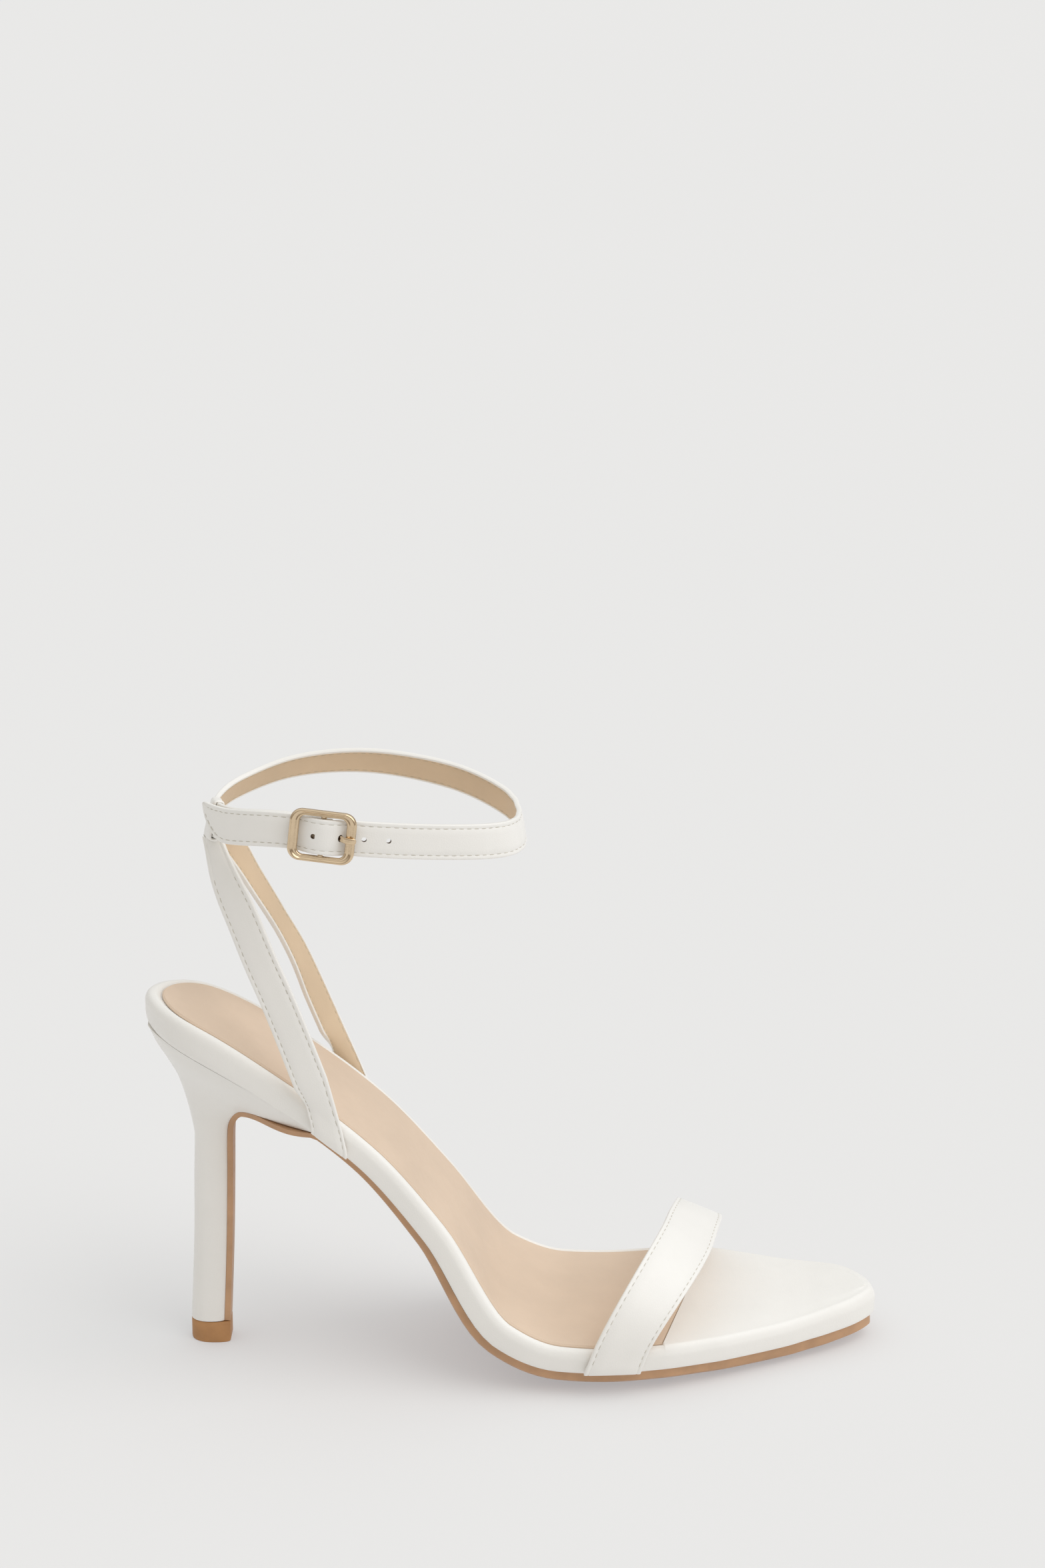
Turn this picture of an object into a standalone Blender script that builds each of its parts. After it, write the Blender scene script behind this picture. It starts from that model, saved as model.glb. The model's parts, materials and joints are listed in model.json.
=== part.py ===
"""Strappy high-heeled sandal, right shoe, standing empty on its top piece and forefoot.

+X runs from heel to toe, +Y to the medial side and +Z up, in metres. Until the last step the
pieces are drawn from the heel's back end, with the heel's centre line at y = 0.
"""

import math
from collections import namedtuple

import bmesh
import bpy
from mathutils import Vector

# Overall sizes, and the clearance between neighbouring pieces
SOLE_LENGTH = 0.2166
BALL_WIDTH = 0.0724
HEEL_RISE = 0.0990
FOREFOOT_HEIGHT = 0.0135
CLEARANCE = 0.0003

# Footbed: a stiff board wrapped in white, with a rounded edge and a low rim round the insole
BOARD_THICKNESS = 0.0063
BOARD_CROWN = 0.0028
TOE_DOME = 0.0005
FRONT_STEP = 0.0012
RIM_WIDTH = 0.0031
HEEL_RIM_EXTRA = 0.0016
RIM_HEIGHT = 0.0009
SEAT_SQUARE_LENGTH = 0.042
INSOLE_THICKNESS = 0.0008

# Outsole: the tread, and the flap that covers the heel's breast
OUTSOLE_THICKNESS = 0.0026
OUTSOLE_INSET = 0.0015
TREAD_CROWN = 0.0014
FLAP_THICKNESS = 0.0015

# Heel and top piece
STEM_LENGTH = 0.0100
STEM_WIDTH = 0.0098
HEEL_INSET = 0.0134
HEEL_EDGE_INSET = 0.0010
WEDGE_END = 0.0545
TOP_PIECE_HEIGHT = 0.0067

# Straps
STRAP_THICKNESS = 0.0015
STRAP_EDGE = 0.0004
FOOT_TUCK = 0.0006
FOOT_BULGE = 0.0004
FOOT_RAKE = 0.0062
TOE_FOOT_RAKE = 0.0022
FOOT_END = 0.82
FOOT_SPREAD = 0.0104
QUARTER_STRAP_WIDTH = 0.0101
ANKLE_STRAP_WIDTH = 0.0102
ANKLE_LENGTH = 0.0910
ANKLE_DEPTH = 0.0590
ANKLE_HEIGHT = 0.1635
ANKLE_TILT = 0.0100
ANKLE_BACK = 0.0195
HOLE_RADIUS = 0.0009
HOLE_PITCH = 0.0070
LOOP_LENGTH = 0.0090
LOOP_WALL = 0.0008
LOOP_DROP = 0.0003
TAIL_LENGTH = 0.0430
TAIL_RISE = 0.0022

# Buckle
BUCKLE_LENGTH = 0.0191
BUCKLE_HEIGHT = 0.0150
BUCKLE_SIDE = 0.0028
BUCKLE_RAIL = 0.0019
BUCKLE_THICKNESS = 0.0019
BUCKLE_CORNER = 0.0036
BAR_RADIUS = 0.0008
BAR_DEPTH = 0.0012
PRONG_RADIUS = 0.00065
BUCKLE_PLACE = 0.0507
PRONG_HOLE = -0.0047

COLLECTION = "strappy_heeled_sandal"

# along, rise, shift and half_width are shares of SOLE_LENGTH, HEEL_RISE, BALL_WIDTH and BALL_WIDTH.
# crown, stack and tread are shares of BOARD_CROWN, BOARD_THICKNESS and OUTSOLE_THICKNESS.
SoleRow = namedtuple("SoleRow", "along rise shift half_width crown stack tread")
SOLE = (
    SoleRow(0.000, 0.997, 0.000, 0.000, 0.00, 1.42, 0.55),
    SoleRow(0.082, 0.932, 0.000, 0.275, 0.00, 1.36, 0.55),
    SoleRow(0.197, 0.777, 0.002, 0.320, 0.00, 1.12, 0.55),
    SoleRow(0.313, 0.576, -0.001, 0.327, 0.10, 1.00, 0.58),
    SoleRow(0.405, 0.345, -0.012, 0.352, 0.40, 1.03, 0.66),
    SoleRow(0.497, 0.069, -0.030, 0.468, 0.80, 1.12, 0.82),
    SoleRow(0.567, 0.008, -0.026, 0.493, 1.00, 1.04, 0.95),
    SoleRow(0.636, 0.000, -0.013, 0.500, 1.00, 1.00, 1.00),
    SoleRow(0.705, 0.001, 0.022, 0.496, 1.00, 1.00, 1.00),
    SoleRow(0.774, -0.005, 0.070, 0.458, 1.00, 1.00, 1.00),
    SoleRow(0.820, -0.008, 0.090, 0.405, 1.00, 1.00, 1.00),
    SoleRow(0.867, -0.010, 0.109, 0.343, 0.90, 1.00, 1.00),
    SoleRow(0.903, -0.006, 0.123, 0.292, 0.80, 1.00, 1.00),
    SoleRow(0.936, 0.002, 0.131, 0.240, 0.60, 1.06, 1.00),
    SoleRow(0.957, 0.006, 0.135, 0.202, 0.45, 1.08, 1.00),
    SoleRow(0.987, 0.011, 0.122, 0.104, 0.25, 1.10, 1.00),
    SoleRow(1.000, 0.012, 0.100, 0.000, 0.20, 1.10, 1.00),
)

# Where the insole's front edge meets its two sides, along the sole
INSOLE_FRONT_LATERAL = 0.708
INSOLE_FRONT_MEDIAL = 0.767

# The board's edge from the rim's foot round to the underside: inset is a share of RIM_WIDTH,
# rim a share of RIM_HEIGHT above the bed, depth a share of the board's thickness below it.
EdgeRow = namedtuple("EdgeRow", "inset rim depth")
BOARD_EDGE = (
    EdgeRow(1.00, 0.00, 0.00),
    EdgeRow(0.86, 0.65, 0.00),
    EdgeRow(0.64, 1.00, 0.00),
    EdgeRow(0.35, 0.75, 0.03),
    EdgeRow(0.11, 0.00, 0.09),
    EdgeRow(0.00, 0.00, 0.30),
    EdgeRow(0.02, 0.00, 0.66),
    EdgeRow(0.16, 0.00, 0.92),
    EdgeRow(0.40, 0.00, 1.00),
)

# Levels up the heel. back_up and front_up are shares of the sole's height above the floor at
# the heel's back and at the wedge's front end, back_in of HEEL_INSET, front_out of the wedge's
# reach from the stem, and spread runs from the stem's section to the seat's.
HeelRow = namedtuple("HeelRow", "back_up back_in front_up front_out spread")
HEEL = (
    HeelRow(0.07, 0.83, 0.092, -0.080, 0.00),
    HeelRow(0.24, 0.90, 0.331, -0.046, 0.00),
    HeelRow(0.36, 0.94, 0.496, -0.027, 0.00),
    HeelRow(0.53, 0.97, 0.728, -0.008, 0.01),
    HeelRow(0.64, 1.00, 0.860, 0.000, 0.03),
    HeelRow(0.70, 0.94, 0.919, 0.011, 0.06),
    HeelRow(0.76, 0.84, 0.966, 0.061, 0.12),
    HeelRow(0.84, 0.66, 1.001, 0.167, 0.27),
    HeelRow(0.914, 0.38, 1.013, 0.350, 0.52),
    HeelRow(0.96, 0.19, 1.006, 0.680, 0.80),
    HeelRow(1.00, 0.08, 1.000, 1.000, 1.00),
)

# The stem's plan from its rounded back to its flat breast: along is a share of its length and
# half a share of half its width.
StemRow = namedtuple("StemRow", "along half")
STEM = (
    StemRow(0.00, 0.00),
    StemRow(0.03, 0.34),
    StemRow(0.10, 0.60),
    StemRow(0.22, 0.82),
    StemRow(0.38, 0.96),
    StemRow(0.55, 1.00),
    StemRow(0.72, 0.98),
    StemRow(0.86, 0.92),
    StemRow(0.95, 0.84),
    StemRow(1.00, 0.74),
)

# The toe strap's two edges. foot_lateral and foot_medial are places along the sole, lean is how
# far the top stands forward of the feet, and all three are shares of SOLE_LENGTH. rise is a
# share of BALL_WIDTH, and square is the arch's exponent: 2 is an ellipse.
ArchRow = namedtuple("ArchRow", "foot_lateral foot_medial lean rise square")
TOE_STRAP_REAR = ArchRow(0.606, 0.697, 0.058, 0.396, 2.26)
TOE_STRAP_FRONT = ArchRow(0.680, 0.758, 0.056, 0.288, 2.40)

# The quarter straps' middle lines from the sole up to the loop. along is a share of SOLE_LENGTH,
# across of BALL_WIDTH and up of the ankle strap's height above the floor. bearing is the
# direction that the strap's outer face looks in plan, in degrees from straight back, towards
# the strap's own side. tilt turns that face upwards.
QuarterRow = namedtuple("QuarterRow", "along across up bearing tilt")
LATERAL_STRAP = (
    QuarterRow(0.2310, 0.354, 0.5580, 90, 2),
    QuarterRow(0.2119, 0.343, 0.6250, 86, 6),
    QuarterRow(0.1893, 0.320, 0.6980, 82, 9),
    QuarterRow(0.1648, 0.290, 0.7690, 78, 12),
    QuarterRow(0.1427, 0.254, 0.8370, 72, 14),
    QuarterRow(0.1191, 0.198, 0.9020, 62, 15),
    QuarterRow(0.1005, 0.090, 0.9570, 44, 14),
)
MEDIAL_STRAP = (
    QuarterRow(0.2390, 0.345, 0.5500, 25, 3),
    QuarterRow(0.2209, 0.318, 0.6150, 23, 6),
    QuarterRow(0.2003, 0.285, 0.6900, 14, 8),
    QuarterRow(0.1739, 0.245, 0.7650, 6, 10),
    QuarterRow(0.1458, 0.193, 0.8400, 6, 12),
    QuarterRow(0.1214, 0.120, 0.9100, 14, 14),
    QuarterRow(0.0975, -0.034, 0.9570, 30, 15),
)
# Where the middle of each strap's foot lies along the sole
LATERAL_FOOT = 0.2486
MEDIAL_FOOT = 0.2680

# The ankle strap's ring, a row each 30 degrees from its front round the medial side. along and
# across are shares of half ANKLE_LENGTH and half ANKLE_DEPTH, lift is a share of ANKLE_TILT and
# lean is the inward lean of the strap's top, in degrees.
RingRow = namedtuple("RingRow", "along across lift lean")
RING = (
    RingRow(1.000, 0.000, 0.02, 9),
    RingRow(0.899, 0.447, 0.29, 14),
    RingRow(0.536, 0.813, 0.74, 22),
    RingRow(0.000, 1.020, 0.98, 31),
    RingRow(-0.486, 0.955, 0.86, 36),
    RingRow(-0.848, 0.580, 0.52, 32),
    RingRow(-1.000, 0.000, 0.38, 15),
    RingRow(-0.848, -0.558, 0.56, 10),
    RingRow(-0.486, -0.915, 0.81, 8),
    RingRow(0.000, -0.978, 0.63, 7),
    RingRow(0.536, -0.778, 0.34, 7),
    RingRow(0.899, -0.430, 0.08, 8),
)

# The tail's rounded, slanting tip: along is a share of TAIL_LENGTH from the bar, and low and
# high are the places of its edges as shares of half the strap's width.
TipRow = namedtuple("TipRow", "along low high")
TAIL_TIP = (
    TipRow(0.28, -1.00, 1.00),
    TipRow(0.40, -1.00, 1.00),
    TipRow(0.54, -1.00, 1.00),
    TipRow(0.70, -1.00, 1.00),
    TipRow(0.76, -0.93, 1.00),
    TipRow(0.82, -0.70, 1.00),
    TipRow(0.87, -0.40, 1.00),
    TipRow(0.92, -0.04, 1.00),
    TipRow(0.96, 0.32, 1.00),
    TipRow(0.985, 0.60, 0.98),
    TipRow(1.00, 0.78, 0.90),
)

# How the tail rises over the bar: shares of BUCKLE_LENGTH from the bar, and of the full rise.
HUMP = (
    (-0.45, 0.0), (-0.36, 0.06), (-0.25, 0.42), (-0.12, 0.86), (0.0, 1.0),
    (0.12, 0.86), (0.25, 0.42), (0.36, 0.06), (0.45, 0.0),
)

# The prong's run from under the bar, up through its hole and over the frame's side. along is a
# share of BUCKLE_LENGTH and out of BUCKLE_THICKNESS, both from the frame's middle.
ProngRow = namedtuple("ProngRow", "along out")
PRONG = (
    ProngRow(-0.130, -1.16),
    ProngRow(-0.190, -1.05),
    ProngRow(-0.245, -0.62),
    ProngRow(-0.290, -0.05),
    ProngRow(-0.330, 0.50),
    ProngRow(-0.375, 0.84),
    ProngRow(-0.430, 0.94),
    ProngRow(-0.480, 0.88),
    ProngRow(-0.515, 0.70),
)

# sRGB colour, roughness and metallic value of each material
FINISHES = {
    "white": ((0.93, 0.92, 0.89), 0.42, 0.0),
    "tan_lining": ((0.83, 0.74, 0.65), 0.55, 0.0),
    "brown_sole": ((0.68, 0.52, 0.40), 0.50, 0.0),
    "brown_rubber": ((0.62, 0.46, 0.33), 0.60, 0.0),
    "pale_gold": ((0.83, 0.70, 0.50), 0.22, 1.0),
}


class Curve:
    """A smooth line through values at rising places, which doesn't overshoot them."""

    def __init__(self, places, values):
        self.places = list(places)
        self.values = list(values)
        steps = [b - a for a, b in zip(self.places, self.places[1:])]
        rates = [(b - a) / s for a, b, s in zip(self.values, self.values[1:], steps)]
        inner = [self.middle_rate(a, b) for a, b in zip(rates, rates[1:])]
        self.rates = [rates[0]] + inner + [rates[-1]]

    @staticmethod
    def middle_rate(before, after):
        if before * after <= 0:
            return 0.0
        return 2 * before * after / (before + after)

    def __call__(self, place):
        last = len(self.places) - 2
        k = 0
        while k < last and place > self.places[k + 1]:
            k += 1
        step = self.places[k + 1] - self.places[k]
        t = (place - self.places[k]) / step
        if t < 0:
            return self.values[0] + self.rates[0] * step * t
        if t > 1:
            return self.values[-1] + self.rates[-1] * step * (t - 1)
        ease = t * t * (3 - 2 * t)
        start = t * (1 - t) ** 2 * step * self.rates[k]
        end = -t * t * (1 - t) * step * self.rates[k + 1]
        return self.values[k] * (1 - ease) + self.values[k + 1] * ease + start + end


def mix(a, b, share):
    return a + (b - a) * share


def smooth_step(value):
    value = min(1.0, max(0.0, value))
    return value * value * (3 - 2 * value)


def angle_at(share):
    """The angle of a place along the sole, which makes both of its ends round in plan."""
    return 2 * math.asin(math.sqrt(min(1.0, max(0.0, share))))


def share_at(angle):
    return (1 - math.cos(angle)) / 2


def sole_curve(column):
    return Curve([row.along for row in SOLE], [getattr(row, column) for row in SOLE])


def plan_curve(column):
    angles = [angle_at(row.along) for row in SOLE]
    return Curve(angles, [getattr(row, column) for row in SOLE])


RISE = sole_curve("rise")
CROWN = sole_curve("crown")
STACK = sole_curve("stack")
TREAD = sole_curve("tread")
SHIFT = plan_curve("shift")
HALF_WIDTH = plan_curve("half_width")


# The sole's surfaces
def bed_height(x):
    return FOREFOOT_HEIGHT + HEEL_RISE * RISE(x / SOLE_LENGTH)


def bed_normal(x):
    """The direction up from the bed, which stands straighter at the heel's square end."""
    step = SOLE_LENGTH / 400
    slope = (bed_height(x + step) - bed_height(x - step)) / (2 * step)
    pitch = math.atan(slope) * smooth_step(0.15 + x / SEAT_SQUARE_LENGTH)
    return Vector((-math.sin(pitch), 0.0, math.cos(pitch)))


def on_bed(x, y, height):
    """The point at that height over the bed, square to it."""
    return Vector((x, y, bed_height(x))) + bed_normal(x) * height


def board_thickness(x):
    return BOARD_THICKNESS * STACK(x / SOLE_LENGTH)


def outline(angle, side, inset=0.0):
    """A point of the board's plan: side is -1 on the lateral edge and 1 on the medial edge."""
    step = 0.01
    points = []
    for a in (angle - step, angle, angle + step):
        a_side = side if 0 <= a <= math.pi else -side
        a = abs(a) if a < math.pi else 2 * math.pi - a
        half = HALF_WIDTH(a) * BALL_WIDTH
        points.append(Vector((share_at(a) * SOLE_LENGTH, SHIFT(a) * BALL_WIDTH + a_side * half)))
    along = (points[2] - points[0]).normalized()
    inward = Vector((along.y, -along.x)) * side
    return points[1] + inward * inset


def half_width_at(x):
    return HALF_WIDTH(angle_at(x / SOLE_LENGTH)) * BALL_WIDTH


def centre_at(x):
    return SHIFT(angle_at(x / SOLE_LENGTH)) * BALL_WIDTH


def underside_crown(x, y):
    """How much deeper the board's underside is at y than at its edge."""
    reach = (y - centre_at(x)) / max(half_width_at(x), CLEARANCE)
    return BOARD_CROWN * CROWN(x / SOLE_LENGTH) * max(0.0, 1 - reach * reach)


def row_across(angle, inset, count, height_at, skip_ends=False):
    """Points from the medial to the lateral edge at one place along the sole."""
    medial = outline(slanted(angle, 1), 1, inset)
    lateral = outline(slanted(angle, -1), -1, inset)
    row = []
    for k in range(count + 1):
        if skip_ends and k in (0, count):
            continue
        place = medial.lerp(lateral, k / count)
        row.append(on_bed(place.x, place.y, height_at(place.x, place.y)))
    return row


# Building meshes
def new_object(name, mesh, finish):
    colour, roughness, metallic = FINISHES[finish]
    material = bpy.data.materials.get(finish) or bpy.data.materials.new(finish)
    material.use_nodes = True
    shader = material.node_tree.nodes["Principled BSDF"]
    linear = [((c + 0.055) / 1.055) ** 2.4 for c in colour]
    shader.inputs["Base Color"].default_value = (*linear, 1.0)
    shader.inputs["Roughness"].default_value = roughness
    shader.inputs["Metallic"].default_value = metallic
    material.diffuse_color = (*linear, 1.0)
    mesh.materials.append(material)
    obj = bpy.data.objects.new(name, mesh)
    bpy.data.collections[COLLECTION].objects.link(obj)
    return obj


def mesh_from(bm, name):
    """Closes up the mesh, turns its faces outwards and shades its round parts smooth."""
    bmesh.ops.remove_doubles(bm, verts=bm.verts, dist=1e-6)
    bmesh.ops.dissolve_degenerate(bm, edges=bm.edges, dist=1e-7)
    bmesh.ops.recalc_face_normals(bm, faces=bm.faces)
    mesh = bpy.data.meshes.new(name)
    bm.to_mesh(mesh)
    bm.free()
    mesh.shade_smooth()
    mesh.set_sharp_from_angle(angle=math.radians(38))
    return mesh


def loft_mesh(name, loops, cap_start=True, cap_end=True, closed=False):
    """A skin over loops of equal length. A loop that has shrunk to a line needs no cap."""
    bm = bmesh.new()
    rings = [[bm.verts.new(point) for point in loop] for loop in loops]
    count = len(rings[0])
    pairs = list(zip(rings, rings[1:]))
    if closed:
        pairs.append((rings[-1], rings[0]))
    for low, high in pairs:
        for k in range(count):
            following = (k + 1) % count
            bm.faces.new((low[k], low[following], high[following], high[k]))
    if cap_start and not closed:
        bm.faces.new(reversed(rings[0]))
    if cap_end and not closed:
        bm.faces.new(rings[-1])
    return mesh_from(bm, name)


def joined(name, first, others, operation, finish):
    """A mesh object for the first mesh with the others added to it or cut from it."""
    obj = new_object(name, first, finish)
    for k, other in enumerate(others):
        helper = bpy.data.objects.new(f"{name}_cutter_{k}", other)
        helper.hide_render = True
        helper.display_type = "WIRE"
        bpy.data.collections["cutters"].objects.link(helper)
        modifier = obj.modifiers.new(helper.name, "BOOLEAN")
        modifier.operation = operation
        modifier.object = helper
        modifier.use_self = operation == "UNION"
    return obj


# Sole
def front_angle():
    return (angle_at(INSOLE_FRONT_LATERAL) + angle_at(INSOLE_FRONT_MEDIAL)) / 2


def bed_stations():
    """Angles of the board's rows, close together just ahead of the insole's front edge."""
    front = front_angle()
    behind = [front * k / 32 for k in range(33)]
    ahead = [front + step for step in (0.006, 0.020, 0.040)]
    ahead += [mix(front + 0.04, math.pi, k / 14) for k in range(1, 15)]
    return behind + ahead


def slanted(angle, side):
    """The angle of a row's end on that side. Rows slant with the insole's front edge."""
    front = front_angle()
    most = (angle_at(INSOLE_FRONT_MEDIAL) - angle_at(INSOLE_FRONT_LATERAL)) / 2
    return angle + side * most * smooth_step(angle / front) * smooth_step(
        (math.pi - angle) / (math.pi - front)
    )


def rim_width_at(angle):
    return RIM_WIDTH + HEEL_RIM_EXTRA * (1 - smooth_step(angle / angle_at(0.08)))


def footbed():
    """The wrapped board. Ahead of the insole its top steps up to the insole's level."""
    front = front_angle()
    loops = []
    for angle in bed_stations():
        ahead = smooth_step((angle - front) / 0.006)
        toe = smooth_step((angle - front) / (math.pi - front) * 3)
        rim = mix(RIM_HEIGHT, FRONT_STEP, ahead)

        def bed(x, y):
            reach = (y - centre_at(x)) / max(half_width_at(x), CLEARANCE)
            return FRONT_STEP * ahead + TOE_DOME * toe * max(0.0, 1 - reach * reach)

        def under(x, y):
            return -board_thickness(x) - underside_crown(x, y)

        def side(sign):
            points = []
            end = slanted(angle, sign)
            for row in BOARD_EDGE:
                place = outline(end, sign, row.inset * rim_width_at(angle))
                foot = FRONT_STEP * ahead
                level = mix(foot, max(rim, foot), row.rim) if row.depth == 0 else row.rim * rim
                height = level - row.depth * board_thickness(place.x)
                points.append(on_bed(place.x, place.y, height))
            return points

        top = row_across(angle, rim_width_at(angle), 4, bed, skip_ends=True)
        lowest = BOARD_EDGE[-1].inset * rim_width_at(angle)
        bottom = row_across(angle, lowest, 6, under, skip_ends=True)
        loops.append(top + side(-1) + bottom[::-1] + side(1)[::-1])
    mesh = loft_mesh("footbed", loops, cap_start=False, cap_end=False)
    return new_object("footbed", mesh, "white")


def insole():
    """The tan sock, which ends in a slanted front edge just ahead of the toe strap."""
    front = front_angle()
    angles = [angle for angle in bed_stations() if angle < front - 0.001]
    angles.append(front - CLEARANCE / SOLE_LENGTH * 2)
    loops = []
    for angle in angles:
        inset = rim_width_at(angle) + CLEARANCE
        low = row_across(angle, inset, 4, lambda x, y: CLEARANCE)
        high = row_across(angle, inset, 4, lambda x, y: CLEARANCE + INSOLE_THICKNESS)
        loops.append(high + low[::-1])
    mesh = loft_mesh("insole", loops, cap_start=False)
    return new_object("insole", mesh, "tan_lining")


def heel_row(level):
    """The heel's table at a level between rows: a HeelRow."""
    columns = []
    for column in HeelRow._fields:
        curve = Curve(range(len(HEEL)), [getattr(row, column) for row in HEEL])
        columns.append(curve(level))
    return HeelRow(*columns)


def seat_point(x, y):
    """A point of the heel's top, just under the board."""
    return on_bed(x, y, -board_thickness(x) - underside_crown(x, y) - CLEARANCE)


def seat_edge(share, side):
    back = HEEL_EDGE_INSET
    x = mix(back, WEDGE_END, share)
    angle = angle_at(x / SOLE_LENGTH)
    if share == 0:
        return Vector((x, centre_at(x)))
    return outline(angle, side, HEEL_EDGE_INSET * smooth_step(share * 8))


def heel_ends(level):
    """The back and front points of a heel section, in the plane y = 0."""
    row = heel_row(level)
    back_top = seat_point(HEEL_EDGE_INSET, 0.0)
    front_top = seat_point(WEDGE_END, 0.0)
    stem_front = HEEL_INSET + STEM_LENGTH
    back = Vector((HEEL_INSET * row.back_in, 0.0, back_top.z * row.back_up))
    reach = front_top.x - stem_front
    front = Vector((stem_front + reach * row.front_out, 0.0, front_top.z * row.front_up))
    return back, front


def heel_half(level, row_index):
    """Half the heel's width at one row of the stem's plan."""
    spread = heel_row(level).spread
    stem_row = STEM[row_index]
    widest = max(abs(seat_edge(row.along, -1).y) for row in STEM)
    stem_half = STEM_WIDTH / 2 * stem_row.half
    seat_half = abs(seat_edge(stem_row.along, -1).y)
    plan = mix(stem_row.half, seat_half / widest, spread)
    return plan * mix(stem_half / max(stem_row.half, 0.01), widest, spread)


def heel_section(level):
    """A closed loop round the heel. The top level lies on the board's underside."""
    top = level == len(HEEL) - 1
    spread = heel_row(level).spread
    back, front = heel_ends(level)
    seat_back = seat_point(HEEL_EDGE_INSET, 0.0)
    seat_front = seat_point(WEDGE_END, 0.0)
    sides = {-1: [], 1: []}
    for k, row in enumerate(STEM):
        for side in (-1, 1):
            edge = seat_edge(row.along, side)
            on_seat = seat_point(edge.x, edge.y)
            if top:
                sides[side].append(on_seat)
                continue
            bulge = on_seat.z - mix(seat_back.z, seat_front.z, row.along)
            point = back.lerp(front, row.along)
            point.y = side * heel_half(level, k)
            point.z += bulge * spread * spread
            sides[side].append(point)
    return sides[-1] + sides[1][:0:-1]


def ladder_cap(bm, loop, count):
    """Closes a loop whose first point is its back end with strips across it."""
    bm.faces.new((loop[0], loop[1], loop[-1]))
    for k in range(1, count - 1):
        bm.faces.new((loop[k], loop[k + 1], loop[-k - 1], loop[-k]))


def heel_solid(name, loops, finish):
    bm = bmesh.new()
    rings = [[bm.verts.new(point) for point in loop] for loop in loops]
    size = len(rings[0])
    for low, high in zip(rings, rings[1:]):
        for k in range(size):
            following = (k + 1) % size
            bm.faces.new((low[k], low[following], high[following], high[k]))
    ladder_cap(bm, rings[0], len(STEM))
    ladder_cap(bm, rings[-1], len(STEM))
    return new_object(name, mesh_from(bm, name), finish)


def heel():
    levels = [0, 1, 2, 3, 4, 4.5, 5, 5.5, 6, 6.5, 7, 7.5, 8, 8.5, 9, 9.5, 10]
    loops = [heel_section(level) for level in levels]
    floor = TOP_PIECE_HEIGHT + CLEARANCE
    loops[0] = [Vector((p.x, p.y, floor)) for p in loops[0]]
    return heel_solid("heel", loops, "white")


def top_piece():
    """The heel's wear block, as long as the stem and the flap on its breast."""
    back, front = heel_ends(0)
    length = front.x - back.x + CLEARANCE + FLAP_THICKNESS
    loops = []
    for height, grow in ((0.0, 0.94), (TOP_PIECE_HEIGHT * 0.08, 1.0), (TOP_PIECE_HEIGHT, 1.0)):
        sides = {-1: [], 1: []}
        for row in STEM:
            for side in (-1, 1):
                x = back.x + length * mix(0.5, row.along, grow)
                sides[side].append(Vector((x, side * STEM_WIDTH / 2 * row.half * grow, height)))
        loops.append(sides[-1] + sides[1][:0:-1])
    return heel_solid("heel_top_piece", loops, "brown_rubber")


def flap_sections(columns):
    """Sections of the outsole's flap up the heel's breast and under its wedge."""
    levels = [0, 1.5, 3, 4, 4.5, 5, 5.5, 6, 6.5, 7, 7.5, 8, 8.5, 9, 9.5, 9.9]
    sections = []
    for level in levels:
        low = heel_ends(max(0.0, level - 0.05))[1]
        high = heel_ends(min(10.0, level + 0.05))[1]
        along = (high - low).normalized()
        down = Vector((along.z, 0.0, -along.x))
        front = heel_ends(level)[1]
        if level == 0:
            front = front + along * ((TOP_PIECE_HEIGHT + CLEARANCE - front.z) / along.z)
        half = heel_half(level, len(STEM) - 1)
        half = mix(half, half_width_at(WEDGE_END) - OUTSOLE_INSET, smooth_step((level - 8) / 2))
        thickness = mix(FLAP_THICKNESS, OUTSOLE_THICKNESS * TREAD(0.2), smooth_step(level / 10))
        gap = CLEARANCE * (1 + smooth_step((level - 7) / 3))
        inner, outer = [], []
        for k in range(columns + 1):
            y = mix(half, -half, k / columns)
            foot = Vector((front.x, y, front.z))
            inner.append(foot + down * gap)
            outer.append(foot + down * (gap + thickness))
        sections.append((inner, outer))
    return sections


def tread_sections(columns):
    """Sections of the outsole from the wedge's front end to the toe, on the board's rows."""
    first = angle_at((WEDGE_END + OUTSOLE_THICKNESS / 2) / SOLE_LENGTH)
    sections = []
    for angle in [a for a in bed_stations() if slanted(a, -1) > first]:
        inner = row_across(angle, OUTSOLE_INSET, columns, outsole_top)
        outer = row_across(angle, OUTSOLE_INSET, columns, outsole_bottom)
        outer = [Vector((p.x, p.y, max(0.0, p.z))) for p in outer]
        sections.append((inner, outer))
    return sections


def outsole_top(x, y):
    return -board_thickness(x) - underside_crown(x, y) - CLEARANCE


def outsole_bottom(x, y):
    reach = (y - centre_at(x)) / max(half_width_at(x), CLEARANCE)
    crown = TREAD_CROWN * CROWN(x / SOLE_LENGTH) * max(0.0, 1 - reach**4)
    return outsole_top(x, y) - OUTSOLE_THICKNESS * TREAD(x / SOLE_LENGTH) - crown


def outsole():
    columns = 8
    loops = []
    for inner, outer in flap_sections(columns) + tread_sections(columns):
        loops.append(inner + outer[::-1])
    mesh = loft_mesh("outsole", loops, cap_end=False)
    return new_object("outsole", mesh, "brown_sole")


# Straps
def strap_loop(centre, out, across, half, thickness=STRAP_THICKNESS):
    """A strap's section with softened edges. out is the way its outer face looks."""
    t = thickness / 2
    edge = min(STRAP_EDGE, half / 2, t * 0.8)
    corners = (
        (half - edge, t), (half, t - edge), (half, edge - t), (half - edge, -t),
        (edge - half, -t), (-half, edge - t), (-half, t - edge), (edge - half, t),
    )
    return [centre + across * a + out * b for a, b in corners]


def signed_power(value, exponent):
    return math.copysign(abs(value) ** exponent, value)


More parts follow.
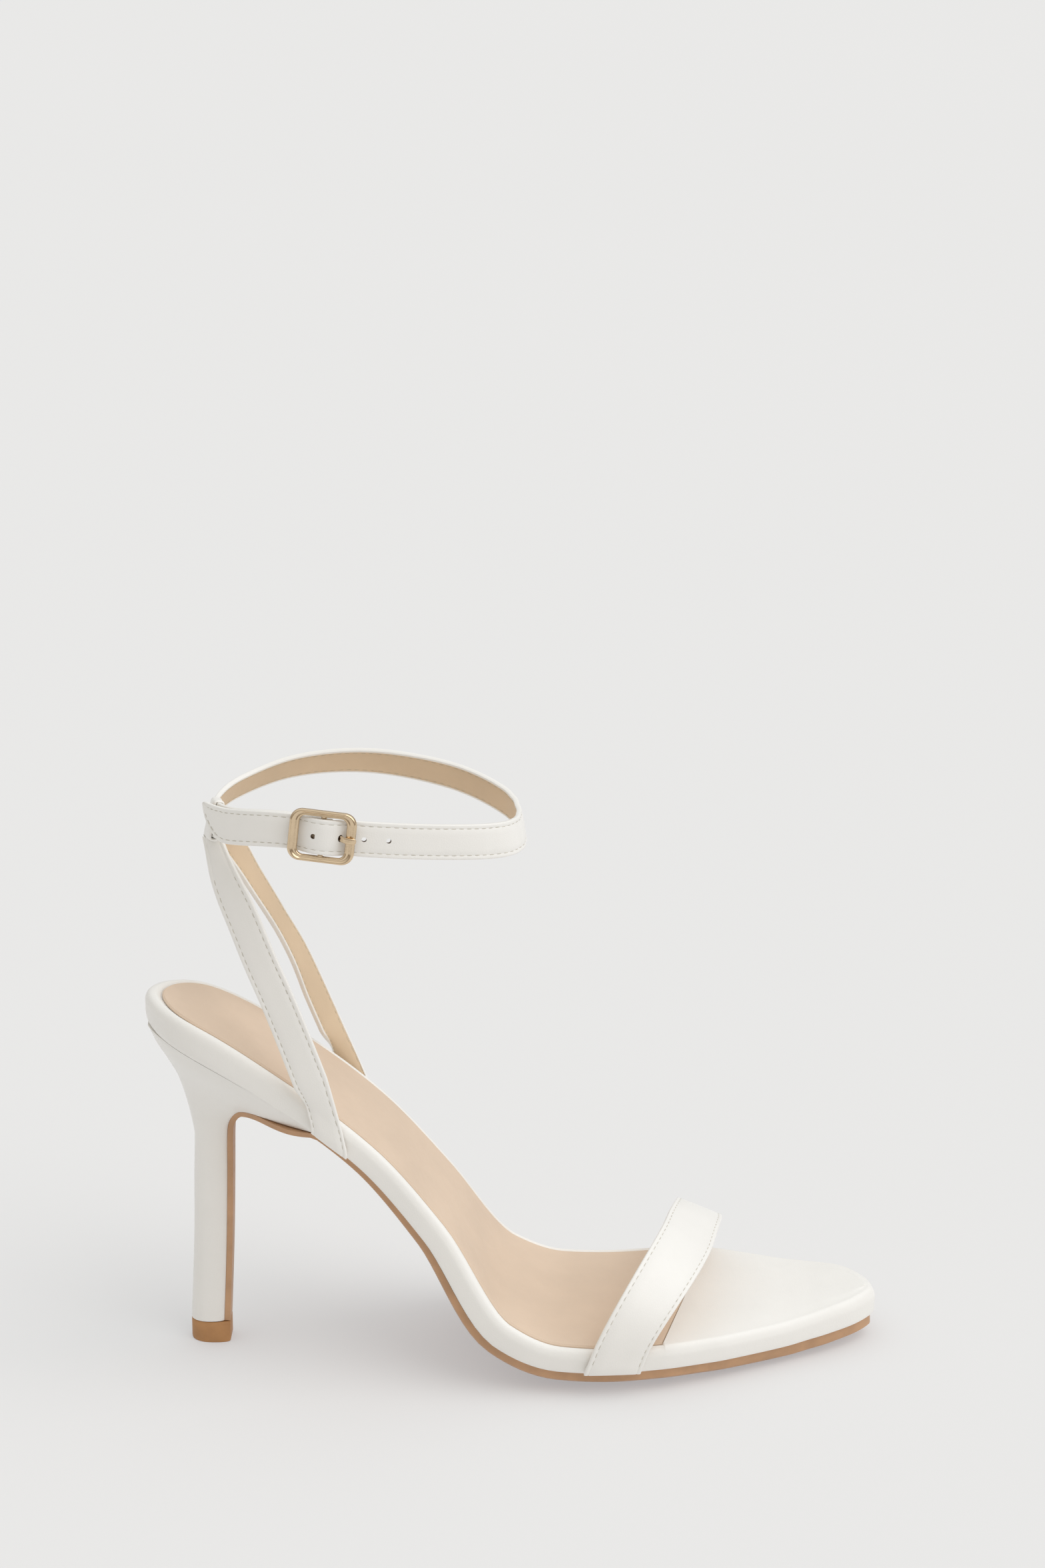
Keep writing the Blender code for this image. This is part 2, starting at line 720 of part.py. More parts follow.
def board_side(x, side, share):
    """Where a strap's middle and outer face lie as it wraps down the board's edge.

    share runs from 0, level with the bed, to 1, tucked under the board's lower edge.
    """
    angle = angle_at(x / SOLE_LENGTH)
    edge = outline(angle, side)
    away = (edge - outline(angle, side, CLEARANCE)).normalized()
    tuck = smooth_step((share - 0.6) / 0.4)
    turn = math.radians(40) * tuck
    out = Vector((away.x, away.y, 0.0)) * math.cos(turn) - bed_normal(x) * math.sin(turn)
    place = edge - away * (FOOT_TUCK * tuck)
    on_edge = on_bed(place.x, place.y, -board_thickness(x) * share)
    return on_edge + out * (CLEARANCE + FOOT_BULGE + STRAP_THICKNESS / 2), out


def foot_section(rear_x, front_x, side, share):
    """A strap's middle, outer face and width where it wraps the board's edge."""
    rear, out = board_side(rear_x, side, share)
    front, _ = board_side(front_x, side, share)
    return (rear + front) / 2, out, front - rear


def toe_foot(rear_x, front_x, side, share):
    """A section of the toe strap's foot, which leans back as it goes down."""
    back = TOE_FOOT_RAKE * (share - 0.25)
    return foot_section(rear_x - back, front_x - back, side, share)


def arch_point(row, turn):
    """A point of one of the toe strap's edges, turn running from 0 to pi over the toes."""
    feet = [
        board_side(row.foot_lateral * SOLE_LENGTH, -1, 0.25)[0],
        board_side(row.foot_medial * SOLE_LENGTH, 1, 0.25)[0],
    ]
    share = (1 - math.cos(turn)) / 2
    middle = feet[0].lerp(feet[1], 0.5)
    half_span = (feet[1].y - feet[0].y) / 2
    bend = 2 / row.square
    y = middle.y - half_span * signed_power(math.cos(turn), bend)
    x = mix(feet[0].x, feet[1].x, share) + row.lean * SOLE_LENGTH * math.sin(turn)
    z = mix(feet[0].z, feet[1].z, share) + row.rise * BALL_WIDTH * math.sin(turn) ** bend
    return Vector((x, y, z))


def strap_loops(middles, outs, widths):
    """Sections along a strap, each square to the strap's run and facing near its own out."""
    loops = []
    last = len(middles) - 1
    for i, (middle, out, width) in enumerate(zip(middles, outs, widths)):
        along = (middles[min(last, i + 1)] - middles[max(0, i - 1)]).normalized()
        face = along.cross(width).normalized()
        if face.dot(out) < 0:
            face = -face
        loops.append(strap_loop(middle, face, width.normalized(), width.length / 2))
    return loops


def toe_strap():
    stations = 34
    rear, front = TOE_STRAP_REAR, TOE_STRAP_FRONT
    lateral = (rear.foot_lateral * SOLE_LENGTH, front.foot_lateral * SOLE_LENGTH, -1)
    medial = (rear.foot_medial * SOLE_LENGTH, front.foot_medial * SOLE_LENGTH, 1)
    foot = (FOOT_END, 0.7, 0.55, 0.4)
    sections = [toe_foot(*lateral, share) for share in foot]
    for i in range(stations + 1):
        turn = math.pi * i / stations
        low, high = arch_point(rear, turn), arch_point(front, turn)
        out = Vector((0.0, -math.cos(turn), math.sin(turn)))
        sections.append(((low + high) / 2, out, high - low))
    sections += [toe_foot(*medial, share) for share in foot[::-1]]
    loops = strap_loops(*zip(*sections))
    return new_object("toe_strap", loft_mesh("toe_strap", loops), "white")


def quarter_strap(rows, foot, side):
    """The loft of one quarter strap from its foot up, side being -1 for the lateral one."""
    places = range(len(rows))
    curves = {c: Curve(places, [getattr(row, c) for row in rows]) for c in QuarterRow._fields}
    top = ANKLE_HEIGHT + ANKLE_TILT / 2
    sections = []
    for share in (FOOT_END, 0.72, 0.6, 0.45, 0.25, 0.0):
        x = foot * SOLE_LENGTH + FOOT_RAKE * share
        sections.append(foot_section(x - FOOT_SPREAD / 2, x + FOOT_SPREAD / 2, side, share))
    stations = 24
    free = []
    for i in range(stations + 1):
        place = i / stations * (len(rows) - 1)
        row = QuarterRow(*(curves[c](place) for c in QuarterRow._fields))
        bearing, tilt = math.radians(row.bearing), math.radians(row.tilt)
        x, y, z = row.along * SOLE_LENGTH, side * row.across * BALL_WIDTH, row.up * top
        flat = Vector((-math.cos(bearing), side * math.sin(bearing), 0.0))
        out = flat * math.cos(tilt) + Vector((0.0, 0.0, math.sin(tilt)))
        free.append((Vector((x, y, z)), out))
    for i, (middle, out) in enumerate(free):
        along = (free[min(stations, i + 1)][0] - free[max(0, i - 1)][0]).normalized()
        width = out.cross(along).normalized() * QUARTER_STRAP_WIDTH * side
        width.z *= 1 - smooth_step((i / stations - 0.7) / 0.3)
        sections.append((middle, out, width))
    return loft_mesh("quarter_strap", strap_loops(*zip(*sections)))


class Ring:
    """The ankle strap's ring, measured by length from the buckle's bar towards the back."""

    def __init__(self):
        steps = 360
        self.points = [self.at_angle(360 * k / steps) for k in range(steps + 1)]
        self.lengths = [0.0]
        for a, b in zip(self.points, self.points[1:]):
            self.lengths.append(self.lengths[-1] + (b - a).length)
        self.girth = self.lengths[-1]
        self.bar = self.lengths[steps // 2] + BUCKLE_PLACE

    @staticmethod
    def column(name, angle):
        """A column of the ring's table at any angle, on a smooth closed line."""
        k = math.floor(angle / 30)
        t = angle / 30 - k
        a, b, c, d = (getattr(RING[(k + n) % len(RING)], name) for n in (-1, 0, 1, 2))
        slope_in, slope_out = (c - a) / 2, (d - b) / 2
        ease = t * t * (3 - 2 * t)
        return b * (1 - ease) + c * ease + t * (1 - t) ** 2 * slope_in - t * t * (1 - t) * slope_out

    def at_angle(self, angle):
        along = self.column("along", angle) * ANKLE_LENGTH / 2
        across = self.column("across", angle) * ANKLE_DEPTH / 2
        lift = self.column("lift", angle) * ANKLE_TILT
        return Vector((ANKLE_BACK + ANKLE_LENGTH / 2 + along, across, ANKLE_HEIGHT + lift))

    def angle_of(self, length):
        """The angle at a length from the bar. It falls as the length grows."""
        wanted = (self.bar - length) % self.girth
        k = 0
        while self.lengths[k + 1] < wanted:
            k += 1
        share = (wanted - self.lengths[k]) / (self.lengths[k + 1] - self.lengths[k])
        return k + share

    def frame(self, length, offset=0.0):
        """Middle, outward direction, up direction and forward direction of the strap there."""
        angle = self.angle_of(length)
        low, high = self.at_angle(angle - 1.5), self.at_angle(angle + 1.5)
        forward = (low - high).normalized()
        out = Vector((-forward.y, forward.x, 0.0)).normalized()
        lean = math.radians(self.column("lean", angle))
        up = Vector((0.0, 0.0, 1.0)) - forward * forward.z
        up = (up.normalized() * math.cos(lean) - out * math.sin(lean)).normalized()
        face = forward.cross(up).normalized()
        if face.dot(out) < 0:
            face = -face
        return self.at_angle(angle) + face * offset, face, up, forward


def ankle_strap_path(ring):
    """The strap from its folded end on the bar, once round the ankle, to its tail's tip.

    Each step is (length from the bar, offset from the ring, low edge, high edge), with both
    edges as shares of half the strap's width.
    """
    layer = STRAP_THICKNESS + CLEARANCE
    bar = buckle_offset() - BAR_DEPTH
    fold = BAR_RADIUS + CLEARANCE + STRAP_THICKNESS / 2
    path = []
    for k in range(6):
        turn = math.radians(mix(90, 180, k / 5))
        path.append((-math.sin(turn) * fold, bar + math.cos(turn) * fold, -1.0, 1.0))
    under = bar - fold
    settled = BUCKLE_LENGTH * 0.40
    for k in range(1, 5):
        share = k / 4
        path.append((settled * share, mix(under, -layer, smooth_step(share)), -1.0, 1.0))
    inner_end = TAIL_LENGTH + LOOP_LENGTH * 0.6
    for k in range(1, 10):
        path.append((mix(settled, inner_end, k / 9), -layer, -1.0, 1.0))
    return_end = inner_end + 0.022
    for k in range(1, 6):
        share = k / 5
        place = mix(inner_end, return_end, share)
        path.append((place, mix(-layer, 0.0, smooth_step(share)), -1.0, 1.0))
    under_frame = ring.girth - BUCKLE_LENGTH * 0.56
    for k in range(1, 35):
        path.append((mix(return_end, under_frame, k / 34), 0.0, -1.0, 1.0))
    for share, _ in HUMP:
        place = share * BUCKLE_LENGTH
        path.append((ring.girth + place, tail_offset(place), -1.0, 1.0))
    for row in TAIL_TIP:
        place = row.along * TAIL_LENGTH
        path.append((ring.girth + place, tail_offset(place), row.low, row.high))
    return path


def tail_offset(place):
    """The strap's offset past the bar. It rises over the bar, and again over the back loop."""
    share = place / BUCKLE_LENGTH
    if share > HUMP[-1][0]:
        start = HUMP[-1][0] * BUCKLE_LENGTH
        return TAIL_RISE * ((place - start) / (TAIL_LENGTH - start)) ** 2
    if share < HUMP[0][0]:
        return 0.0
    over = buckle_offset() - BAR_DEPTH + BAR_RADIUS + CLEARANCE + STRAP_THICKNESS / 2
    return over * Curve([h[0] for h in HUMP], [h[1] for h in HUMP])(share)


def buckle_offset():
    """How far the middle of the buckle's frame stands out from the strap's middle."""
    return STRAP_THICKNESS / 2 + CLEARANCE + BUCKLE_THICKNESS / 2 + CLEARANCE


def ankle_strap(ring):
    path = ankle_strap_path(ring)
    frames = [ring.frame(length, offset) for length, offset, _, _ in path]
    loops = []
    last = len(path) - 1
    for i, (_, _, low, high) in enumerate(path):
        middle, _, up, _ = frames[i]
        before, after = frames[max(0, i - 1)][0], frames[min(last, i + 1)][0]
        along = (after - before).normalized()
        out = along.cross(up).normalized()
        half = ANKLE_STRAP_WIDTH / 2
        centre = middle + up * (half * (low + high) / 2)
        loops.append(strap_loop(centre, out, up, half * (high - low) / 2))
    strap = loft_mesh("ankle_strap", loops)
    cutters = []
    for k in (-2, -1, 1):
        place = PRONG_HOLE + k * HOLE_PITCH
        middle, face, _, _ = ring.frame(ring.girth + place, tail_offset(place))
        cutters.append(cylinder(middle, face, HOLE_RADIUS, STRAP_THICKNESS * 1.35))
    cutters.append(prong_mesh(ring, PRONG_RADIUS + CLEARANCE))
    return joined("ankle_strap", strap, cutters, "DIFFERENCE", "white")


def cylinder(middle, axis, radius, length, sides=10):
    bm = bmesh.new()
    bmesh.ops.create_cone(
        bm, cap_ends=True, segments=sides, radius1=radius, radius2=radius, depth=length
    )
    turn = Vector((0.0, 0.0, 1.0)).rotation_difference(axis).to_matrix().to_4x4()
    turn.translation = middle
    bmesh.ops.transform(bm, matrix=turn, verts=bm.verts)
    return mesh_from(bm, "cylinder")


def back_loop(ring):
    """The loop on the quarter straps' joined tops that the ankle strap slides through."""
    room = STRAP_THICKNESS / 2 + CLEARANCE * 1.5
    height = ANKLE_STRAP_WIDTH / 2 + CLEARANCE + LOOP_DROP
    start = TAIL_LENGTH * 0.94
    wall = LOOP_WALL
    loops = []
    stations = 5
    layer = STRAP_THICKNESS + CLEARANCE
    for k in range(stations + 1):
        length = start + LOOP_LENGTH * k / stations
        middle, face, up, _ = ring.frame(length, -layer)
        middle = middle - up * LOOP_DROP
        ring_loop = []
        for grow in (1, 0):
            a, b = room + wall * grow, height + wall * grow
            soft = wall * grow + CLEARANCE
            corners = (
                (a, b - soft), (a - soft, b), (soft - a, b), (-a, b - soft),
                (-a, soft - b), (soft - a, -b), (a - soft, -b), (a, soft - b),
            )
            ring_loop.append([middle + face * p + up * q for p, q in corners])
        loops.append(ring_loop)
    bm = bmesh.new()
    shells = [[[bm.verts.new(p) for p in ring_loop[n]] for ring_loop in loops] for n in (0, 1)]
    size = 8
    for shell in shells:
        for low, high in zip(shell, shell[1:]):
            for k in range(size):
                following = (k + 1) % size
                bm.faces.new((low[k], low[following], high[following], high[k]))
    for end in (0, -1):
        outer, inner = shells[0][end], shells[1][end]
        for k in range(size):
            following = (k + 1) % size
            bm.faces.new((outer[k], outer[following], inner[following], inner[k]))
    return mesh_from(bm, "back_loop")


def quarter_straps(ring):
    """Both quarter straps and the back loop, joined behind the ankle."""
    lateral = quarter_strap(LATERAL_STRAP, LATERAL_FOOT, -1)
    medial = quarter_strap(MEDIAL_STRAP, MEDIAL_FOOT, 1)
    return joined("quarter_straps", lateral, [medial, back_loop(ring)], "UNION", "white")


# Buckle
def rounded_rectangle(length, height, radius, steps=4):
    points = []
    for quarter in range(4):
        cx = (length / 2 - radius) * (1 if quarter in (0, 3) else -1)
        cy = (height / 2 - radius) * (1 if quarter in (0, 1) else -1)
        for k in range(steps + 1):
            turn = math.pi / 2 * (quarter + k / steps)
            points.append((cx + radius * math.cos(turn), cy + radius * math.sin(turn)))
    return points


def buckle_frame(ring):
    middle, face, up, forward = ring.frame(0.0, buckle_offset())
    outer = rounded_rectangle(BUCKLE_LENGTH, BUCKLE_HEIGHT, BUCKLE_CORNER)
    inner = rounded_rectangle(
        BUCKLE_LENGTH - 2 * BUCKLE_SIDE, BUCKLE_HEIGHT - 2 * BUCKLE_RAIL, BUCKLE_CORNER / 2
    )
    t = BUCKLE_THICKNESS / 2
    profile = ((0.0, -0.5), (0.14, -1.0), (0.86, -1.0), (1.0, -0.4), (0.9, 0.5), (0.5, 1.0),
               (0.1, 0.6))
    loops = []
    for (ox, oy), (ix, iy) in zip(outer, inner):
        loop = []
        for share, height in profile:
            x, y = mix(ox, ix, share), mix(oy, iy, share)
            loop.append(middle + forward * x + up * y + face * (height * t))
        loops.append(loop)
    frame = loft_mesh("buckle_frame", loops, closed=True)
    bar_middle = middle - face * BAR_DEPTH
    bar = cylinder(bar_middle, up, BAR_RADIUS, BUCKLE_HEIGHT - BUCKLE_RAIL * 1.6, sides=12)
    ends = []
    for side in (-1, 1):
        seat = middle - face * (BAR_DEPTH / 2) + up * side * (BUCKLE_HEIGHT - BUCKLE_RAIL * 1.5) / 2
        ends.append(cylinder(seat, face, BAR_RADIUS, BAR_DEPTH + BAR_RADIUS, sides=12))
    return joined("buckle_frame", frame, [bar] + ends, "UNION", "pale_gold")


def prong_mesh(ring, radius):
    """The prong: a hook under the bar, then a rod up through a hole that lies on the frame."""
    middle, face, up, forward = ring.frame(0.0, buckle_offset())
    eye = BAR_RADIUS + CLEARANCE + PRONG_RADIUS
    path = []
    for k in range(6):
        turn = math.radians(mix(120, 250, k / 5))
        path.append((math.sin(turn) * eye, math.cos(turn) * eye - BAR_DEPTH))
    path += [(row.along * BUCKLE_LENGTH, row.out * BUCKLE_THICKNESS) for row in PRONG]
    loops = []
    last = len(path) - 1
    for i, (along, out) in enumerate(path):
        before, after = Vector(path[max(0, i - 1)]), Vector(path[min(last, i + 1)])
        run = (after - before).normalized()
        normal = forward * run.y - face * run.x
        centre = middle + forward * along + face * out
        size = radius * (0.6 if i in (0, last) else 1.0)
        turns = [2 * math.pi * k / 8 for k in range(8)]
        loops.append([centre + (normal * math.cos(a) + up * math.sin(a)) * size for a in turns])
    return loft_mesh("prong", loops)


def buckle_prong(ring):
    return new_object("buckle_prong", prong_mesh(ring, PRONG_RADIUS), "pale_gold")


def clear_scene():
    for obj in list(bpy.data.objects):
        bpy.data.objects.remove(obj, do_unlink=True)
    for name in (COLLECTION, "cutters"):
        collection = bpy.data.collections.new(name)
        bpy.context.scene.collection.children.link(collection)
    bpy.data.collections["cutters"].hide_render = True


def stand_at_origin():
    """Carries every piece on one empty, so that the sandal's box is centred on the origin."""
    pieces = list(bpy.data.collections[COLLECTION].objects)
    points = [vertex.co for piece in pieces for vertex in piece.data.vertices]
    middle_x = (min(p.x for p in points) + max(p.x for p in points)) / 2
    middle_y = (min(p.y for p in points) + max(p.y for p in points)) / 2
    stand = bpy.data.objects.new("stand", None)
    bpy.data.collections[COLLECTION].objects.link(stand)
    for piece in pieces + list(bpy.data.collections["cutters"].objects):
        piece.parent = stand
    stand.location = (-middle_x, -middle_y, 0.0)


def main():
    clear_scene()
    ring = Ring()
    footbed()
    insole()
    outsole()
    heel()
    top_piece()
    toe_strap()
    quarter_straps(ring)
    ankle_strap(ring)
    buckle_frame(ring)
    buckle_prong(ring)
    stand_at_origin()


main()
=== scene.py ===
"""Looks of the strappy heeled sandal: leather, linings, stitches, metal, floor, light and camera.

The pieces are drawn as part.py draws them, from the heel's back end with the heel's centre line
at y = 0, in metres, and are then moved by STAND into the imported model's frame.
"""

import json
import math
from collections import namedtuple

import bmesh
import bpy
from mathutils import Matrix, Vector

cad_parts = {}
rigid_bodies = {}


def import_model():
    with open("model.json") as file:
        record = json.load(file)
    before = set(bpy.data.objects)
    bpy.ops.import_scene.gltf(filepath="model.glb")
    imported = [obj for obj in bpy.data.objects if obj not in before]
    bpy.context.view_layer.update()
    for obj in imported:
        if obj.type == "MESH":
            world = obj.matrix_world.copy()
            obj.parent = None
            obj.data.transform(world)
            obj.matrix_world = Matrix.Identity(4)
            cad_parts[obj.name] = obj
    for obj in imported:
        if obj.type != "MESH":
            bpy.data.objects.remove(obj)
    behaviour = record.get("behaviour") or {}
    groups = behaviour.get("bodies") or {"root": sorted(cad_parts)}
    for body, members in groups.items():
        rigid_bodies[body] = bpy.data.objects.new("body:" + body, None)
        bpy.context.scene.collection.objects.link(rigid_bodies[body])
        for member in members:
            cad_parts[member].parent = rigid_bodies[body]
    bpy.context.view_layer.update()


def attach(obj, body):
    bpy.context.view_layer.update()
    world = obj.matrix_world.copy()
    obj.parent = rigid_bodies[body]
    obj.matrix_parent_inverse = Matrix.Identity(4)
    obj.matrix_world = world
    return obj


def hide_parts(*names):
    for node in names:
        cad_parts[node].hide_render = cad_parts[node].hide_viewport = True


for startup in list(bpy.data.objects):
    bpy.data.objects.remove(startup, do_unlink=True)
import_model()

# The drawing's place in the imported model's frame
STAND = Vector((-0.108318, -0.000416, 0.0))

# The photograph's camera, from the drawing's origin
CAMERA_PLACE = Vector((0.1433, -1.1804, 0.5796))
CAMERA_AZIMUTH = 1.58
CAMERA_ELEVATION = 18.84
CAMERA_SENSOR = 36.0
CAMERA_LENS = 99.49

# Overall sizes, and the clearance between neighbouring pieces
SOLE_LENGTH = 0.2166
BALL_WIDTH = 0.0724
HEEL_RISE = 0.0990
FOREFOOT_HEIGHT = 0.0135
CLEARANCE = 0.0003

# Footbed: a stiff board wrapped in white, with a rounded edge and a low rim round the insole
BOARD_THICKNESS = 0.0063
BOARD_CROWN = 0.0028
TOE_DOME = 0.0005
FRONT_STEP = 0.0012
RIM_WIDTH = 0.0031
HEEL_RIM_EXTRA = 0.0016
RIM_HEIGHT = 0.0009
SEAT_SQUARE_LENGTH = 0.042
INSOLE_THICKNESS = 0.0008

# Outsole: the tread, and the flap that covers the heel's breast
OUTSOLE_THICKNESS = 0.0026
OUTSOLE_INSET = 0.0015
TREAD_CROWN = 0.0014
FLAP_THICKNESS = 0.0015

# Heel and top piece
STEM_LENGTH = 0.0100
STEM_WIDTH = 0.0098
HEEL_INSET = 0.0134
HEEL_EDGE_INSET = 0.0010
WEDGE_END = 0.0545
TOP_PIECE_HEIGHT = 0.0067

# Straps. TUCK_FROM is the share of the board's edge from which a foot turns under it, by
# FOOT_TURN degrees, and ARCH_SHARE the share at which the toe strap's arch meets its feet.
STRAP_THICKNESS = 0.0015
STRAP_EDGE = 0.0004
FOOT_TUCK = 0.0006
FOOT_BULGE = 0.0004
FOOT_RAKE = 0.0062
TOE_FOOT_RAKE = 0.0022
FOOT_END = 0.82
FOOT_TURN = 40
TUCK_FROM = 0.6
ARCH_SHARE = 0.25
FOOT_SPREAD = 0.0104
QUARTER_STRAP_WIDTH = 0.0101
ANKLE_STRAP_WIDTH = 0.0102
ANKLE_LENGTH = 0.0910
ANKLE_DEPTH = 0.0590
ANKLE_HEIGHT = 0.1635
ANKLE_TILT = 0.0100
ANKLE_BACK = 0.0195
HOLE_RADIUS = 0.0009
HOLE_PITCH = 0.0070
LOOP_LENGTH = 0.0090
LOOP_WALL = 0.0008
LOOP_DROP = 0.0003
TAIL_LENGTH = 0.0430
TAIL_RISE = 0.0022

# The ankle strap's inner layer: where it settles past the fold, how far into the loop it runs,
# over what length it comes out to the ring, and where the ring meets the buckle's frame
LAYER_SETTLES = 0.40
LAYER_IN_LOOP = 0.6
LAYER_RETURN = 0.022
FRAME_REACH = 0.56

# Buckle
BUCKLE_LENGTH = 0.0191
BUCKLE_HEIGHT = 0.0150
BUCKLE_SIDE = 0.0028
BUCKLE_RAIL = 0.0019
BUCKLE_THICKNESS = 0.0019
BUCKLE_CORNER = 0.0036
BAR_RADIUS = 0.0008
BAR_DEPTH = 0.0012
PRONG_RADIUS = 0.00065
BUCKLE_PLACE = 0.0507
PRONG_HOLE = -0.0047

# Strap surfaces: the length of their faces, their soft crown and the lining set into them
SKIN_STEP = 0.0011
STRAP_CROWN = 0.00012
LINING_INSET = 0.00065
LINING_DROP = 0.00012

# Stitches, the groove that they lie in, and how far from a strap's ends they start and stop
STITCH_INSET = 0.00125
STITCH_GROOVE = 0.00012
STITCH_GROOVE_HALF = 0.00032
STITCH_PITCH = 0.0024
STITCH_LENGTH = 0.00165
THREAD_RADIUS = 0.00014
SEAM_START = 0.002
SEAM_STOPS_SHORT = 0.012
ANKLE_SEAM_START = 0.006

# Points drawn for each row of a table, and columns of points across the sole
FINER = 4
BED_COLUMNS = 12
TREAD_COLUMNS = 14

# The angle over which the board steps up ahead of the insole
STEP_RUN = 0.003

# The seam between heel and footbed: its gap, and how far the heel's cover fills the board's
# rounded edge, fully at the back and by SEAM_FILL from SEAM_OPENS on
SEAM_GAP = 0.00006
SEAM_FILL = 0.50
SEAM_OPENS = 0.014

# Where along the sole the wrap's lower edge changes to its tight turn, as shares of the angle
WRAP_TIGHT_FROM = 0.20
WRAP_TIGHT_RUN = 0.12

# How far edges are rounded off, as shares of each sheet's thickness
INSOLE_SOFT = 0.6
TREAD_SOFT = 0.18
LOOP_SOFT = 0.35

# How much of the clearance over the tread is closed
TREAD_CLOSER = 0.8

# The holes' size and depth and the prong's breadth and flat top, as shares of the sizes above
PUNCH_SHARE = 0.80
PUNCH_DEPTH = 1.35
PRONG_BREADTH = 1.30
PRONG_FLAT = 0.62

# Back loop: the room inside it, where it starts along the ring, the share of its length that
# shows, and the place of its stitches across the strap
LOOP_ROOM = 0.00012
LOOP_START = 0.0416
LOOP_SHOWN = 0.72
LOOP_SEAM = -0.18

# Smoothing angles of leather, metal and thread, in degrees
LEATHER_SHARP = 38
METAL_SHARP = 60
THREAD_SHARP = 80

# Floor, sky and the two soft lights. The sky is dimmer and warmer low down and behind the camera.
FLOOR_SIZE = 14.0
# The floor's glow is painted light: it lightens the shadows cast on the floor, and its cool tint
# against the floor's warmer grey keeps those shadows neutral.
FLOOR_GLOW = 0.310
FLOOR_GLOW_TINT = (0.91, 1.0, 1.09, 1.0)
FLOOR_DARK = (0.756, 0.735, 0.712)
FLOOR_LIGHT = (0.762, 0.741, 0.718)
SKY_LOW = 0.32
SKY_HIGH = 0.90
SKY_FULL_AT = 0.80
HORIZON_TINT = (1.0, 0.91, 0.83, 1.0)
ZENITH_TINT = (0.985, 1.0, 1.0, 1.0)
ZENITH_FROM = 0.5
BEHIND_TINT = (0.84, 0.79, 0.73, 1.0)
FRONT_TINT = (1.0, 1.0, 1.0, 1.0)
FRONT_FROM = 0.2
SUN_TINT = (0.985, 1.0, 1.03)


def table(columns, rows):
    """Rows of numbers with a name for each column."""
    kind = namedtuple("Row", columns)
    return [kind(*row) for row in rows]


# Soft creases across the ankle strap: along is a share of the strap's length, depth and width
# are in metres and slant is how far the crease leans along the strap from edge to edge.
CREASES = table("along depth width slant", (
    (0.560, 0.00016, 0.0016, 0.15), (0.585, 0.00022, 0.0019, -0.10),
    (0.606, 0.00014, 0.0013, 0.05), (0.630, 0.00020, 0.0021, 0.20),
    (0.668, 0.00012, 0.0016, -0.15), (0.890, 0.00014, 0.0024, 0.10),
    (0.940, 0.00010, 0.0020, -0.20),
))

# along, rise, shift and half_width are shares of SOLE_LENGTH, HEEL_RISE, BALL_WIDTH and BALL_WIDTH.
# crown, stack and tread are shares of BOARD_CROWN, BOARD_THICKNESS and OUTSOLE_THICKNESS.
SOLE = table("along rise shift half_width crown stack tread", (
    (0.000, 0.997, 0.000, 0.000, 0.00, 1.42, 0.55),
    (0.082, 0.932, 0.000, 0.275, 0.00, 1.36, 0.55),
    (0.197, 0.777, 0.002, 0.320, 0.00, 1.12, 0.55),
    (0.313, 0.576, -0.001, 0.327, 0.10, 1.00, 0.58),
    (0.405, 0.345, -0.012, 0.352, 0.40, 1.03, 0.66),
    (0.497, 0.069, -0.030, 0.468, 0.80, 1.12, 0.82),
    (0.567, 0.008, -0.026, 0.493, 1.00, 1.04, 0.95),
    (0.636, 0.000, -0.013, 0.500, 1.00, 1.00, 1.00),
    (0.705, 0.001, 0.022, 0.496, 1.00, 1.00, 1.00),
    (0.774, -0.005, 0.070, 0.458, 1.00, 1.00, 1.00),
    (0.820, -0.008, 0.090, 0.405, 1.00, 1.00, 1.00),
    (0.867, -0.010, 0.109, 0.343, 0.90, 1.00, 1.00),
    (0.903, -0.006, 0.123, 0.292, 0.80, 1.00, 1.00),
    (0.936, 0.002, 0.131, 0.240, 0.60, 1.06, 1.00),
    (0.957, 0.006, 0.135, 0.202, 0.45, 1.08, 1.00),
    (0.987, 0.011, 0.122, 0.104, 0.25, 1.10, 1.00),
    (1.000, 0.012, 0.100, 0.000, 0.20, 1.10, 1.00),
))

# Where the insole's front edge meets its two sides, along the sole
INSOLE_FRONT_LATERAL = 0.708
INSOLE_FRONT_MEDIAL = 0.767

# The board's edge from the rim's foot round to the underside: inset is a share of RIM_WIDTH,
# rim a share of RIM_HEIGHT above the bed, depth a share of the board's thickness below it.
EDGE_COLUMNS = "inset rim depth"
BOARD_EDGE = table(EDGE_COLUMNS, (
    (1.00, 0.00, 0.00), (0.86, 0.65, 0.00), (0.64, 1.00, 0.00),
    (0.35, 0.75, 0.03), (0.11, 0.00, 0.09), (0.00, 0.00, 0.30),
    (0.02, 0.00, 0.66), (0.16, 0.00, 0.92), (0.40, 0.00, 1.00),
))
# The wrapped board's last two rows at the forefoot, where it turns under more tightly
WRAP_TURN = table(EDGE_COLUMNS, ((0.10, 0.00, 0.965), (0.40, 0.00, 1.00)))

# Levels up the heel. back_up and front_up are shares of the sole's height above the floor at
# the heel's back and at the wedge's front end, back_in of HEEL_INSET, front_out of the wedge's
# reach from the stem, and spread runs from the stem's section to the seat's.
HEEL = table("back_up back_in front_up front_out spread", (
    (0.07, 0.83, 0.092, -0.080, 0.00), (0.24, 0.90, 0.331, -0.046, 0.00),
    (0.36, 0.94, 0.496, -0.027, 0.00), (0.53, 0.97, 0.728, -0.008, 0.01),
    (0.64, 1.00, 0.860, 0.000, 0.03), (0.70, 0.94, 0.919, 0.011, 0.06),
    (0.76, 0.84, 0.966, 0.061, 0.12), (0.84, 0.66, 1.001, 0.167, 0.27),
    (0.914, 0.38, 1.013, 0.350, 0.52), (0.96, 0.19, 1.006, 0.680, 0.80),
    (1.00, 0.08, 1.000, 1.000, 1.00),
))

